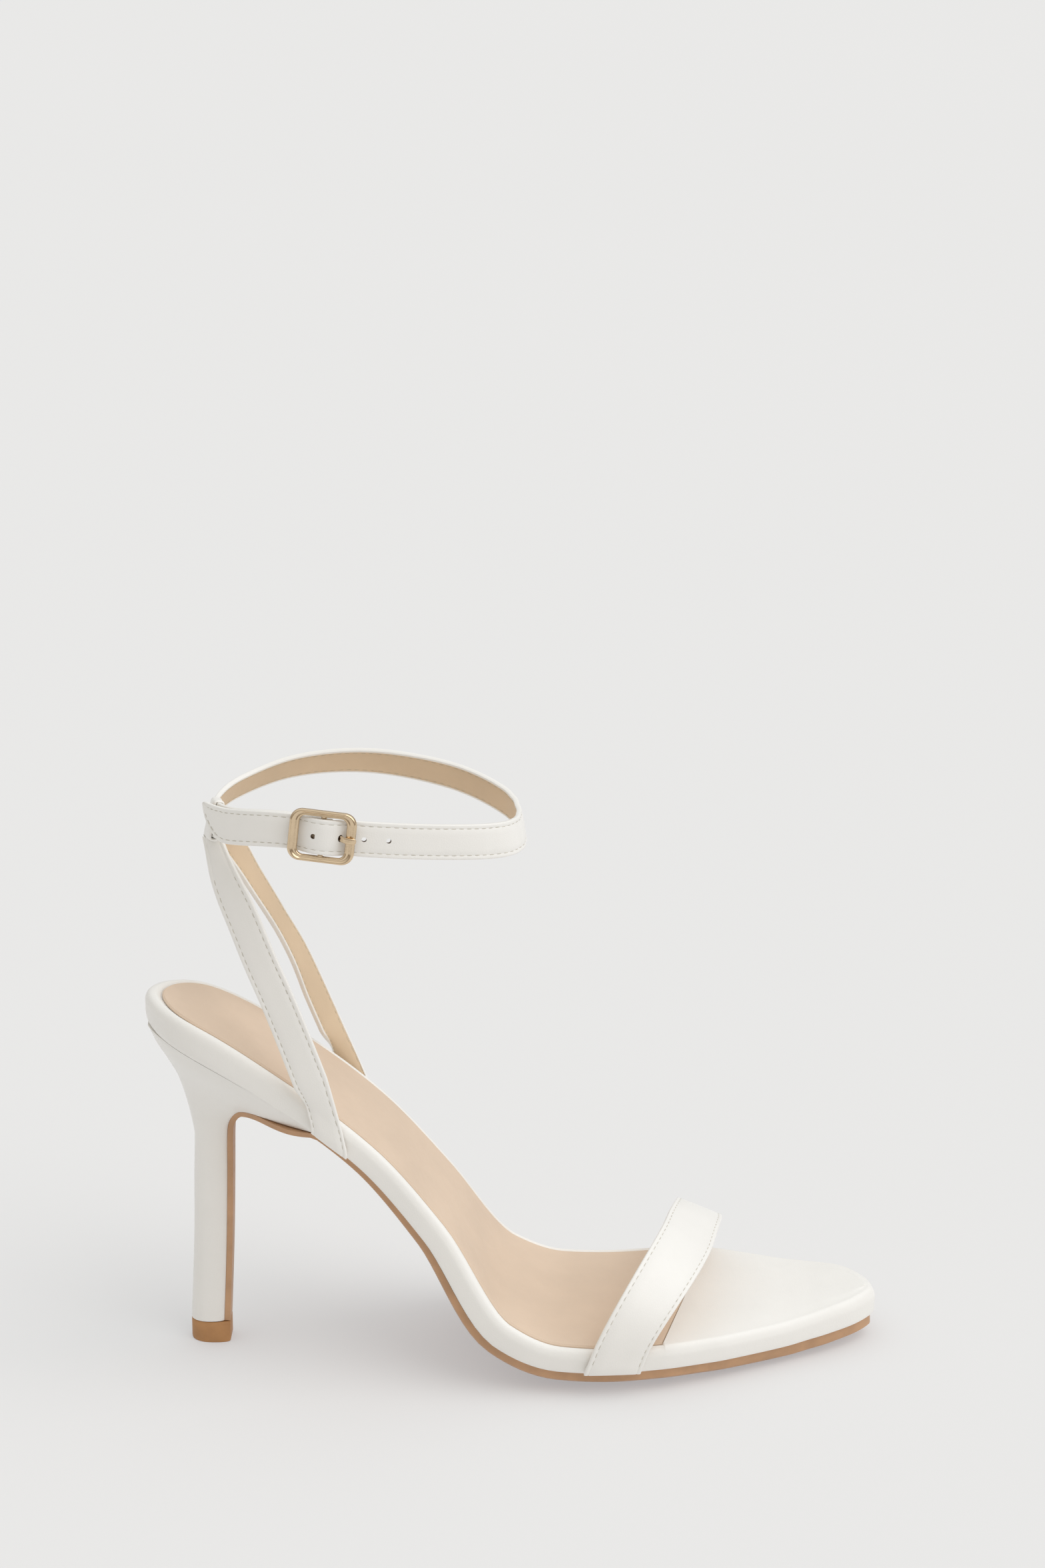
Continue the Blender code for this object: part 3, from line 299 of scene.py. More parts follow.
# The stem's plan from its rounded back to its flat breast: along is a share of its length and
# half a share of half its width.
STEM = table("along half", (
    (0.00, 0.00), (0.03, 0.34), (0.10, 0.60), (0.22, 0.82), (0.38, 0.96),
    (0.55, 1.00), (0.72, 0.98), (0.86, 0.92), (0.95, 0.84), (1.00, 0.74),
))

# The toe strap's two edges. foot_lateral and foot_medial are places along the sole, lean is how
# far the top stands forward of the feet, and all three are shares of SOLE_LENGTH. rise is a
# share of BALL_WIDTH, and square is the arch's exponent: 2 is an ellipse.
TOE_STRAP_REAR, TOE_STRAP_FRONT = table("foot_lateral foot_medial lean rise square", (
    (0.606, 0.697, 0.058, 0.396, 2.26),
    (0.680, 0.758, 0.056, 0.288, 2.40),
))

# The quarter straps' middle lines from the sole up to the loop. along is a share of SOLE_LENGTH,
# across of BALL_WIDTH and up of the ankle strap's height above the floor. bearing is the
# direction that the strap's outer face looks in plan, in degrees from straight back, towards
# the strap's own side. tilt turns that face upwards.
QUARTER_COLUMNS = "along across up bearing tilt"
LATERAL_STRAP = table(QUARTER_COLUMNS, (
    (0.2310, 0.354, 0.5580, 90, 2), (0.2119, 0.343, 0.6250, 86, 6),
    (0.1893, 0.320, 0.6980, 82, 9), (0.1648, 0.290, 0.7690, 78, 12),
    (0.1427, 0.254, 0.8370, 72, 14), (0.1191, 0.198, 0.9020, 62, 15),
    (0.1005, 0.090, 0.9570, 44, 14),
))
MEDIAL_STRAP = table(QUARTER_COLUMNS, (
    (0.2390, 0.345, 0.5500, 25, 3), (0.2209, 0.318, 0.6150, 23, 6),
    (0.2003, 0.285, 0.6900, 14, 8), (0.1739, 0.245, 0.7650, 6, 10),
    (0.1458, 0.193, 0.8400, 6, 12), (0.1214, 0.120, 0.9100, 14, 14),
    (0.0975, -0.034, 0.9570, 30, 15),
))
# Where the middle of each strap's foot lies along the sole
LATERAL_FOOT = 0.2486
MEDIAL_FOOT = 0.2680

# The ankle strap's ring, a row each 30 degrees from its front round the medial side. along and
# across are shares of half ANKLE_LENGTH and half ANKLE_DEPTH, lift is a share of ANKLE_TILT and
# lean is the inward lean of the strap's top, in degrees.
RING = table("along across lift lean", (
    (1.000, 0.000, 0.02, 9), (0.899, 0.447, 0.29, 14), (0.536, 0.813, 0.74, 22),
    (0.000, 1.020, 0.98, 31), (-0.486, 0.955, 0.86, 36), (-0.848, 0.580, 0.52, 32),
    (-1.000, 0.000, 0.38, 15), (-0.848, -0.558, 0.56, 10), (-0.486, -0.915, 0.81, 8),
    (0.000, -0.978, 0.63, 7), (0.536, -0.778, 0.34, 7), (0.899, -0.430, 0.08, 8),
))

# The tail's rounded, slanting tip: along is a share of TAIL_LENGTH from the bar, and low and
# high are the places of its edges as shares of half the strap's width.
TAIL_TIP = table("along low high", (
    (0.28, -1.00, 1.00), (0.40, -1.00, 1.00), (0.54, -1.00, 1.00), (0.70, -1.00, 1.00),
    (0.76, -0.93, 1.00), (0.82, -0.70, 1.00), (0.87, -0.40, 1.00), (0.92, -0.04, 1.00),
    (0.96, 0.32, 1.00), (0.985, 0.60, 0.98), (1.00, 0.78, 0.90),
))

# How the tail rises over the bar: shares of BUCKLE_LENGTH from the bar, and of the full rise.
HUMP = table("along rise", (
    (-0.45, 0.0), (-0.36, 0.06), (-0.25, 0.42), (-0.12, 0.86), (0.0, 1.0),
    (0.12, 0.86), (0.25, 0.42), (0.36, 0.06), (0.45, 0.0),
))

# The prong's run from under the bar, up through its hole and over the frame's side. along is a
# share of BUCKLE_LENGTH and out of BUCKLE_THICKNESS, both from the frame's middle.
PRONG = table("along out", (
    (-0.130, -1.16), (-0.190, -1.05), (-0.245, -0.62), (-0.290, -0.05), (-0.330, 0.50),
    (-0.375, 0.84), (-0.430, 0.94), (-0.480, 0.88), (-0.515, 0.70),
))


class Curve:
    """A smooth line through values at rising places, which doesn't overshoot them."""

    def __init__(self, places, values):
        self.places = list(places)
        self.values = list(values)
        steps = [b - a for a, b in zip(self.places, self.places[1:])]
        rates = [(b - a) / s for a, b, s in zip(self.values, self.values[1:], steps)]
        inner = [self.middle_rate(a, b) for a, b in zip(rates, rates[1:])]
        self.rates = [rates[0]] + inner + [rates[-1]]

    @staticmethod
    def middle_rate(before, after):
        if before * after <= 0:
            return 0.0
        return 2 * before * after / (before + after)

    def __call__(self, place):
        last = len(self.places) - 2
        k = 0
        while k < last and place > self.places[k + 1]:
            k += 1
        step = self.places[k + 1] - self.places[k]
        t = (place - self.places[k]) / step
        if t < 0:
            return self.values[0] + self.rates[0] * step * t
        if t > 1:
            return self.values[-1] + self.rates[-1] * step * (t - 1)
        ease = t * t * (3 - 2 * t)
        start = t * (1 - t) ** 2 * step * self.rates[k]
        end = -t * t * (1 - t) * step * self.rates[k + 1]
        return self.values[k] * (1 - ease) + self.values[k + 1] * ease + start + end


def row_between(rows, place):
    """The row of a table at a place between its rows, on smooth lines through the columns."""
    places = range(len(rows))
    return rows[0]._make(Curve(places, column)(place) for column in zip(*rows))


def run_at(points, i):
    """The direction in which a line of points runs at its point i."""
    return (points[min(len(points) - 1, i + 1)] - points[max(0, i - 1)]).normalized()


def mix(a, b, share):
    return a + (b - a) * share


def smooth_step(value):
    value = min(1.0, max(0.0, value))
    return value * value * (3 - 2 * value)


def angle_at(share):
    """The angle of a place along the sole, which makes both of its ends round in plan."""
    return 2 * math.asin(math.sqrt(min(1.0, max(0.0, share))))


def share_at(angle):
    return (1 - math.cos(angle)) / 2


def sole_curve(column):
    return Curve([row.along for row in SOLE], [getattr(row, column) for row in SOLE])


def plan_curve(column):
    angles = [angle_at(row.along) for row in SOLE]
    return Curve(angles, [getattr(row, column) for row in SOLE])


RISE = sole_curve("rise")
CROWN = sole_curve("crown")
STACK = sole_curve("stack")
TREAD = sole_curve("tread")
SHIFT = plan_curve("shift")
HALF_WIDTH = plan_curve("half_width")


# The sole's surfaces
def bed_height(x):
    return FOREFOOT_HEIGHT + HEEL_RISE * RISE(x / SOLE_LENGTH)


def bed_normal(x):
    """The direction up from the bed, which stands straighter at the heel's square end."""
    step = SOLE_LENGTH / 400
    slope = (bed_height(x + step) - bed_height(x - step)) / (2 * step)
    pitch = math.atan(slope) * smooth_step(0.15 + x / SEAT_SQUARE_LENGTH)
    return Vector((-math.sin(pitch), 0.0, math.cos(pitch)))


def on_bed(x, y, height):
    """The point at that height over the bed, square to it."""
    return Vector((x, y, bed_height(x))) + bed_normal(x) * height


def board_thickness(x):
    return BOARD_THICKNESS * STACK(x / SOLE_LENGTH)


def outline(angle, side, inset=0.0):
    """A point of the board's plan: side is -1 on the lateral edge and 1 on the medial edge."""
    step = 0.01
    points = []
    for a in (angle - step, angle, angle + step):
        a_side = side if 0 <= a <= math.pi else -side
        a = abs(a) if a < math.pi else 2 * math.pi - a
        half = HALF_WIDTH(a) * BALL_WIDTH
        points.append(Vector((share_at(a) * SOLE_LENGTH, SHIFT(a) * BALL_WIDTH + a_side * half)))
    along = (points[2] - points[0]).normalized()
    inward = Vector((along.y, -along.x)) * side
    return points[1] + inward * inset


def half_width_at(x):
    return HALF_WIDTH(angle_at(x / SOLE_LENGTH)) * BALL_WIDTH


def centre_at(x):
    return SHIFT(angle_at(x / SOLE_LENGTH)) * BALL_WIDTH


def reach_across(x, y):
    """How far y lies from the sole's middle line, as a share of its half width there."""
    return (y - centre_at(x)) / max(half_width_at(x), CLEARANCE)


def underside(x, y):
    """The board's crowned underside, as a height over the bed."""
    crown = BOARD_CROWN * CROWN(x / SOLE_LENGTH) * max(0.0, 1 - reach_across(x, y) ** 2)
    return -board_thickness(x) - crown


def row_across(angle, inset, count, height_at, skip_ends=False):
    """Points from the medial to the lateral edge at one place along the sole."""
    medial = outline(slanted(angle, 1), 1, inset)
    lateral = outline(slanted(angle, -1), -1, inset)
    row = []
    for k in range(count + 1):
        if skip_ends and k in (0, count):
            continue
        place = medial.lerp(lateral, k / count)
        row.append(on_bed(place.x, place.y, height_at(place.x, place.y)))
    return row


def front_angle():
    """The angle at the middle of the insole's slanted front edge."""
    return (angle_at(INSOLE_FRONT_LATERAL) + angle_at(INSOLE_FRONT_MEDIAL)) / 2


def slanted(angle, side):
    """The angle of a row's end on that side. Rows slant with the insole's front edge."""
    front = front_angle()
    most = (angle_at(INSOLE_FRONT_MEDIAL) - angle_at(INSOLE_FRONT_LATERAL)) / 2
    return angle + side * most * smooth_step(angle / front) * smooth_step(
        (math.pi - angle) / (math.pi - front)
    )


def rim_width_at(angle):
    return RIM_WIDTH + HEEL_RIM_EXTRA * (1 - smooth_step(angle / angle_at(0.08)))


def seat_point(x, y):
    """A point of the heel's top, just under the board."""
    return on_bed(x, y, underside(x, y) - SEAM_GAP)


def seat_edge(share, side):
    """A point of the heel's top edge in plan, share running forward along the wedge."""
    x = mix(HEEL_EDGE_INSET, WEDGE_END, share)
    if share == 0:
        return Vector((x, centre_at(x)))
    return outline(angle_at(x / SOLE_LENGTH), side, HEEL_EDGE_INSET * smooth_step(share * 8))


def heel_ends(level):
    """The back and front points of a heel section, in the plane y = 0."""
    row = row_between(HEEL, level)
    back_top = seat_point(HEEL_EDGE_INSET, 0.0)
    front_top = seat_point(WEDGE_END, 0.0)
    stem_front = HEEL_INSET + STEM_LENGTH
    back = Vector((HEEL_INSET * row.back_in, 0.0, back_top.z * row.back_up))
    reach = front_top.x - stem_front
    front = Vector((stem_front + reach * row.front_out, 0.0, front_top.z * row.front_up))
    return back, front


def heel_half(level, stem_row):
    """Half the heel's width at one row of the stem's plan."""
    spread = row_between(HEEL, level).spread
    widest = max(abs(seat_edge(row.along, -1).y) for row in STEM)
    stem_half = STEM_WIDTH / 2 * stem_row.half
    seat_half = abs(seat_edge(stem_row.along, -1).y)
    plan = mix(stem_row.half, seat_half / widest, spread)
    return plan * mix(stem_half / max(stem_row.half, 0.01), widest, spread)


def outsole_top(x, y):
    return underside(x, y) - CLEARANCE


def outsole_bottom(x, y):
    crown = TREAD_CROWN * CROWN(x / SOLE_LENGTH) * max(0.0, 1 - reach_across(x, y) ** 4)
    return outsole_top(x, y) - OUTSOLE_THICKNESS * TREAD(x / SOLE_LENGTH) - crown


def signed_power(value, exponent):
    return math.copysign(abs(value) ** exponent, value)


def board_side(x, side, share):
    """Where a strap's middle and outer face lie as it wraps down the board's edge.

    share runs from 0, level with the bed, to 1, tucked under the board's lower edge.
    """
    angle = angle_at(x / SOLE_LENGTH)
    edge = outline(angle, side)
    away = (edge - outline(angle, side, CLEARANCE)).normalized()
    tuck = smooth_step((share - TUCK_FROM) / (1 - TUCK_FROM))
    turn = math.radians(FOOT_TURN) * tuck
    out = Vector((away.x, away.y, 0.0)) * math.cos(turn) - bed_normal(x) * math.sin(turn)
    place = edge - away * (FOOT_TUCK * tuck)
    on_edge = on_bed(place.x, place.y, -board_thickness(x) * share)
    return on_edge + out * (CLEARANCE + FOOT_BULGE + STRAP_THICKNESS / 2), out


def foot_section(rear_x, front_x, side, share):
    """A strap's middle, outer face and width where it wraps the board's edge."""
    rear, out = board_side(rear_x, side, share)
    front, _ = board_side(front_x, side, share)
    return (rear + front) / 2, out, front - rear


def toe_foot(rear_x, front_x, side, share):
    """A section of the toe strap's foot, which leans back as it goes down."""
    back = TOE_FOOT_RAKE * (share - ARCH_SHARE)
    return foot_section(rear_x - back, front_x - back, side, share)


def arch_point(row, turn):
    """A point of one of the toe strap's edges, turn running from 0 to pi over the toes."""
    feet = [
        board_side(row.foot_lateral * SOLE_LENGTH, -1, ARCH_SHARE)[0],
        board_side(row.foot_medial * SOLE_LENGTH, 1, ARCH_SHARE)[0],
    ]
    share = (1 - math.cos(turn)) / 2
    middle = feet[0].lerp(feet[1], 0.5)
    half_span = (feet[1].y - feet[0].y) / 2
    bend = 2 / row.square
    y = middle.y - half_span * signed_power(math.cos(turn), bend)
    x = mix(feet[0].x, feet[1].x, share) + row.lean * SOLE_LENGTH * math.sin(turn)
    z = mix(feet[0].z, feet[1].z, share) + row.rise * BALL_WIDTH * math.sin(turn) ** bend
    return Vector((x, y, z))


class Ring:
    """The ankle strap's ring, measured by length from the buckle's bar towards the back."""

    def __init__(self):
        steps = 360
        self.points = [self.at_angle(360 * k / steps) for k in range(steps + 1)]
        self.lengths = [0.0]
        for a, b in zip(self.points, self.points[1:]):
            self.lengths.append(self.lengths[-1] + (b - a).length)
        self.girth = self.lengths[-1]
        self.bar = self.lengths[steps // 2] + BUCKLE_PLACE

    @staticmethod
    def column(name, angle):
        """A column of the ring's table at any angle, on a smooth closed line."""
        step = 360 / len(RING)
        k = math.floor(angle / step)
        t = angle / step - k
        a, b, c, d = (getattr(RING[(k + n) % len(RING)], name) for n in (-1, 0, 1, 2))
        slope_in, slope_out = (c - a) / 2, (d - b) / 2
        ease = t * t * (3 - 2 * t)
        return b * (1 - ease) + c * ease + t * (1 - t) ** 2 * slope_in - t * t * (1 - t) * slope_out

    def at_angle(self, angle):
        along = self.column("along", angle) * ANKLE_LENGTH / 2
        across = self.column("across", angle) * ANKLE_DEPTH / 2
        lift = self.column("lift", angle) * ANKLE_TILT
        return Vector((ANKLE_BACK + ANKLE_LENGTH / 2 + along, across, ANKLE_HEIGHT + lift))

    def angle_of(self, length):
        """The angle at a length from the bar. It falls as the length grows."""
        wanted = (self.bar - length) % self.girth
        k = 0
        while self.lengths[k + 1] < wanted:
            k += 1
        share = (wanted - self.lengths[k]) / (self.lengths[k + 1] - self.lengths[k])
        return k + share

    def frame(self, length, offset=0.0):
        """Middle, outward direction, up direction and forward direction of the strap there."""
        angle = self.angle_of(length)
        low, high = self.at_angle(angle - 1.5), self.at_angle(angle + 1.5)
        forward = (low - high).normalized()
        out = Vector((-forward.y, forward.x, 0.0)).normalized()
        lean = math.radians(self.column("lean", angle))
        up = Vector((0.0, 0.0, 1.0)) - forward * forward.z
        up = (up.normalized() * math.cos(lean) - out * math.sin(lean)).normalized()
        face = forward.cross(up).normalized()
        if face.dot(out) < 0:
            face = -face
        return self.at_angle(angle) + face * offset, face, up, forward


def ankle_strap_path(ring):
    """The strap from its folded end on the bar, once round the ankle, to its tail's tip.

    Each step is (length from the bar, offset from the ring, low edge, high edge), with both
    edges as shares of half the strap's width.
    """
    layer = STRAP_THICKNESS + CLEARANCE
    bar = buckle_offset() - BAR_DEPTH
    fold = BAR_RADIUS + CLEARANCE + STRAP_THICKNESS / 2
    path = []
    for k in range(6):
        turn = math.radians(mix(90, 180, k / 5))
        path.append((-math.sin(turn) * fold, bar + math.cos(turn) * fold, -1.0, 1.0))
    under = bar - fold
    settled = BUCKLE_LENGTH * LAYER_SETTLES
    for k in range(1, 5):
        share = k / 4
        path.append((settled * share, mix(under, -layer, smooth_step(share)), -1.0, 1.0))
    inner_end = TAIL_LENGTH + LOOP_LENGTH * LAYER_IN_LOOP
    for k in range(1, 10):
        path.append((mix(settled, inner_end, k / 9), -layer, -1.0, 1.0))
    return_end = inner_end + LAYER_RETURN
    for k in range(1, 6):
        share = k / 5
        place = mix(inner_end, return_end, share)
        path.append((place, mix(-layer, 0.0, smooth_step(share)), -1.0, 1.0))
    under_frame = ring.girth - BUCKLE_LENGTH * FRAME_REACH
    for k in range(1, 35):
        path.append((mix(return_end, under_frame, k / 34), 0.0, -1.0, 1.0))
    for share, _ in HUMP:
        place = share * BUCKLE_LENGTH
        path.append((ring.girth + place, tail_offset(place), -1.0, 1.0))
    for row in TAIL_TIP:
        place = row.along * TAIL_LENGTH
        path.append((ring.girth + place, tail_offset(place), row.low, row.high))
    return path


def tail_offset(place):
    """The strap's offset past the bar. It rises over the bar, and again over the back loop."""
    share = place / BUCKLE_LENGTH
    if share > HUMP[-1].along:
        start = HUMP[-1].along * BUCKLE_LENGTH
        return TAIL_RISE * ((place - start) / (TAIL_LENGTH - start)) ** 2
    if share < HUMP[0].along:
        return 0.0
    over = buckle_offset() - BAR_DEPTH + BAR_RADIUS + CLEARANCE + STRAP_THICKNESS / 2
    return over * Curve(*zip(*HUMP))(share)


def buckle_offset():
    """How far the middle of the buckle's frame stands out from the strap's middle."""
    return STRAP_THICKNESS / 2 + CLEARANCE + BUCKLE_THICKNESS / 2 + CLEARANCE


def rounded_rectangle(length, height, radius, steps):
    """Points round a rectangle with round corners, anticlockwise."""
    points = []
    for quarter in range(4):
        cx = (length / 2 - radius) * (1 if quarter in (0, 3) else -1)
        cy = (height / 2 - radius) * (1 if quarter in (0, 1) else -1)
        for k in range(steps + 1):
            turn = math.pi / 2 * (quarter + k / steps)
            points.append((cx + radius * math.cos(turn), cy + radius * math.sin(turn)))
    return points


# Materials
class Nodes:
    """The nodes of a material or a world, with short ways to add and join them."""

    def __init__(self, owner, shader, place):
        owner.use_nodes = True
        self.owner = owner
        self.tree = owner.node_tree
        self.shader = self.tree.nodes[shader]
        self.place = self.add("ShaderNodeTexCoord").outputs[place]

    def add(self, kind, constants=(), **settings):
        """A new node. settings are its own, constants are (socket, number or colour) pairs."""
        node = self.tree.nodes.new(kind)
        for name, value in settings.items():
            setattr(node, name, value)
        for name, value in constants:
            node.inputs[name].default_value = value
        return node

    def join(self, output, socket):
        self.tree.links.new(output, socket)

    def feed(self, **outputs):
        """Joins outputs to the shader's sockets, whose names have spaces for underscores."""
        for name, output in outputs.items():
            self.join(output, self.shader.inputs[name.replace("_", " ")])

    def noise(self, scale, detail=3.0):
        node = self.add("ShaderNodeTexNoise",
                        (("Scale", scale), ("Detail", detail), ("Roughness", 0.55)))
        self.join(self.place, node.inputs["Vector"])
        return node.outputs["Fac"]

    def cells(self, scale):
        node = self.add("ShaderNodeTexVoronoi", (("Scale", scale),), feature="DISTANCE_TO_EDGE")
        self.join(self.place, node.inputs["Vector"])
        return node.outputs["Distance"]

    def span(self, value, low, high, to_low=0.0, to_high=1.0):
        node = self.add("ShaderNodeMapRange", (("From Min", low), ("From Max", high),
                                               ("To Min", to_low), ("To Max", to_high)))
        self.join(value, node.inputs["Value"])
        return node.outputs["Result"]

    def wander(self, scale, low=0.0, high=1.0, detail=3.0, spread=0.20):
        """Noise that wanders softly between two numbers."""
        return self.span(self.noise(scale, detail), 0.5 - spread, 0.5 + spread, low, high)

    def bump(self, height, strength, distance, before=None):
        node = self.add("ShaderNodeBump", (("Strength", strength), ("Distance", distance)))
        self.join(height, node.inputs["Height"])
        if before is not None:
            self.join(before, node.inputs["Normal"])
        return node.outputs["Normal"]

    def blend(self, factor, low, high):
        node = self.add("ShaderNodeMix", data_type="RGBA")
        node.inputs["A"].default_value = low
        node.inputs["B"].default_value = high
        self.join(factor, node.inputs["Factor"])
        return node.outputs["Result"]

    def paint(self, tone, dark, light):
        self.feed(Base_Color=self.blend(tone, linear(dark), linear(light)))


def linear(colour):
    """A screen colour as the light that it stands for."""
    return (*(((c + 0.055) / 1.055) ** 2.4 if c > 0.04045 else c / 12.92 for c in colour), 1.0)


def toned(colour, share):
    return tuple(min(1.0, c * share) for c in colour)


def new_material(name):
    return Nodes(bpy.data.materials.new(name), "Principled BSDF", "Object")


def leather(name, colour, roughness, grain, depth, variation, coat=0.0):
    """Fine-grained leather: shallow cells between creases, pores, and soft changes of tone."""
    nodes = new_material(name)
    tone = nodes.wander(38.0, detail=4.0, spread=0.15)
    nodes.paint(tone, toned(colour, 1 - variation), toned(colour, 1 + variation))
    fine = nodes.bump(nodes.noise(grain * 2.3), 0.30, depth)
    cells = nodes.span(nodes.cells(grain), 0.0, 0.16)
    nodes.feed(Roughness=nodes.wander(grain * 0.35, roughness * 0.88, roughness * 1.12),
               Normal=nodes.bump(cells, 0.22, depth, fine))
    nodes.shader.inputs["Specular IOR Level"].default_value = 0.45
    nodes.shader.inputs["Coat Weight"].default_value = coat
    nodes.shader.inputs["Coat Roughness"].default_value = 0.28
    return nodes.owner


def moulded(name, colour, roughness, depth):
    """Moulded sole rubber: even colour with fine speckle and a fine grain."""
    nodes = new_material(name)
    tone = nodes.wander(160.0, detail=5.0, spread=0.15)
    nodes.paint(tone, toned(colour, 0.965), toned(colour, 1.03))
    nodes.feed(Roughness=nodes.wander(700.0, roughness * 0.85, roughness * 1.1),
               Normal=nodes.bump(nodes.noise(1500.0), 0.35, depth))
    nodes.shader.inputs["Specular IOR Level"].default_value = 0.4
    return nodes.owner


def plated(name, colour, roughness):
    """Polished plating with faint polishing marks."""
    nodes = new_material(name)
    nodes.paint(nodes.wander(240.0), toned(colour, 0.97), toned(colour, 1.02))
    nodes.feed(Roughness=nodes.wander(1800.0, roughness * 0.7, roughness * 1.4))
    nodes.shader.inputs["Metallic"].default_value = 1.0
    return nodes.owner


def spun(name, colour, depth=0.00004):
    """Matt thread with a fine fibrous grain."""
    nodes = new_material(name)
    nodes.paint(nodes.wander(900.0), toned(colour, 0.93), toned(colour, 1.05))
    nodes.feed(Normal=nodes.bump(nodes.noise(5200.0), 0.4, depth))
    nodes.shader.inputs["Roughness"].default_value = 0.75
    return nodes.owner


WHITE = leather("white_leather", (0.962, 0.955, 0.937), 0.40, 1500.0, 0.00006, 0.006, 0.10)
LINING = leather("tan_lining", (0.868, 0.772, 0.650), 0.60, 1900.0, 0.00005, 0.020)
SOCK = leather("insole_leather", (0.876, 0.788, 0.698), 0.55, 1700.0, 0.00005, 0.016)
SOLE_BROWN = moulded("outsole_brown", (0.768, 0.608, 0.468), 0.48, 0.00004)
RUBBER = moulded("top_piece_brown", (0.735, 0.545, 0.360), 0.60, 0.00006)
GOLD = plated("pale_gold_plating", (0.865, 0.775, 0.650), 0.15)
# The outer thread's grey is partly its own pale colour and partly painted shade from the groove
# that it lies in.
THREAD_WITH_PAINTED_SHADE = spun("thread", (0.800, 0.780, 0.730))
LINING_THREAD = spun("lining_thread", (0.800, 0.745, 0.650))
# Painted shade: the holes' walls are coloured dark brown in place of the shade inside the holes.
HOLE_PAINTED_SHADE = moulded("hole_edge", (0.480, 0.400, 0.330), 0.70, 0.00003)


# Building meshes
def add_object(name, data):
    obj = bpy.data.objects.new(name, data)
    bpy.context.scene.collection.objects.link(obj)
    return obj


def piece(name, mesh, materials, slot, nodes=(), sharp=LEATHER_SHARP):
    """Puts a mesh in the model's frame as a piece that rides on the shoe."""
    for material in materials:
        mesh.materials.append(material)
    mesh.transform(Matrix.Translation(STAND))
    mesh.shade_smooth()
    mesh.set_sharp_from_angle(angle=math.radians(sharp))
    obj = add_object(name, mesh)
    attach(obj, "root")
    if nodes:
        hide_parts(*nodes)
    return obj


def closed_mesh(bm, name):
    bmesh.ops.remove_doubles(bm, verts=bm.verts, dist=1e-6)
    bmesh.ops.dissolve_degenerate(bm, edges=bm.edges, dist=1e-7)
    bmesh.ops.recalc_face_normals(bm, faces=bm.faces)
    if bm.calc_volume(signed=True) < 0:
        bmesh.ops.reverse_faces(bm, faces=bm.faces)
    mesh = bpy.data.meshes.new(name)
    bm.to_mesh(mesh)
    bm.free()
    return mesh


def skin(bm, loops, caps=(True, True), closed=False, slots=None):
    """Joins loops of equal length. slots gives the material of each strip round the loop."""
    rings = [[bm.verts.new(point) for point in loop] for loop in loops]
    size = len(rings[0])
    pairs = list(zip(rings, rings[1:]))
    if closed:
        pairs.append((rings[-1], rings[0]))
    for low, high in pairs:
        for k in range(size):
            following = (k + 1) % size
            face = bm.faces.new((low[k], low[following], high[following], high[k]))
            if slots:
                face.material_index = slots[k]
    if caps[0] and not closed:
        bm.faces.new(reversed(rings[0]))
    if caps[1] and not closed:
        bm.faces.new(rings[-1])
    return rings


def skin_mesh(name, loops, **options):
    bm = bmesh.new()
    skin(bm, loops, **options)
    return closed_mesh(bm, name)


# Sole
def bed_stations():
    """Angles of the board's rows, close together just ahead of the insole's front edge."""
    front = front_angle()
    rows_behind, rows_ahead = 110, 48
    steps = (0.002, 0.004, 0.006, 0.010, 0.016, 0.025, 0.040)
    behind = [front * k / rows_behind for k in range(rows_behind + 1)]
    close = [front + step for step in steps]
    far = [mix(close[-1], math.pi, k / rows_ahead) for k in range(1, rows_ahead + 1)]
    return behind + close + far


def edge_points(angle, side, heights_at):
    """The board's edge at one station, rounded between the rows of BOARD_EDGE."""
    rim = rim_width_at(angle)
    end = slanted(angle, side)
    insets, heights = [], []
    tight = smooth_step((angle / math.pi - WRAP_TIGHT_FROM) / WRAP_TIGHT_RUN)
    turn = [row._make(mix(a, b, tight) for a, b in zip(row, tight_row))
            for row, tight_row in zip(BOARD_EDGE[-2:], WRAP_TURN)]
    for row in [*BOARD_EDGE[:-2], *turn]:
        place = outline(end, side, row.inset * rim)
        insets.append(row.inset * rim)
        heights.append(heights_at(row, place.x))
    inset_curve = Curve(range(len(insets)), insets)
    height_curve = Curve(range(len(heights)), heights)
    points = []
    for k in range(FINER * (len(insets) - 1) + 1):
        place = outline(end, side, inset_curve(k / FINER))
        points.append(on_bed(place.x, place.y, height_curve(k / FINER)))
    return points


def footbed_wrap():
    """The wrapped board. Ahead of the insole its top steps up to the insole's level."""
    front = front_angle()
    loops = []
    for angle in bed_stations():
        ahead = smooth_step((angle - front) / STEP_RUN)
        toe = smooth_step((angle - front) / (math.pi - front) * 3)
        foot = FRONT_STEP * ahead
        rim = mix(RIM_HEIGHT, FRONT_STEP, ahead)

        def bed(x, y):
            return foot + TOE_DOME * toe * max(0.0, 1 - reach_across(x, y) ** 2)

        def edge_height(row, x):
            level = mix(foot, max(rim, foot), row.rim) if row.depth == 0 else row.rim * rim
            return level - row.depth * board_thickness(x)

        top = row_across(angle, rim_width_at(angle), BED_COLUMNS, bed, skip_ends=True)
        lowest = BOARD_EDGE[-1].inset * rim_width_at(angle)
        bottom = row_across(angle, lowest, BED_COLUMNS, underside, skip_ends=True)
        lateral, medial = edge_points(angle, -1, edge_height), edge_points(angle, 1, edge_height)
        loops.append(top + lateral + bottom[::-1] + medial[::-1])
    mesh = skin_mesh("footbed_wrap", loops, caps=(False, False))
    return piece("footbed_wrap", mesh, [WHITE], "white", ["footbed"])


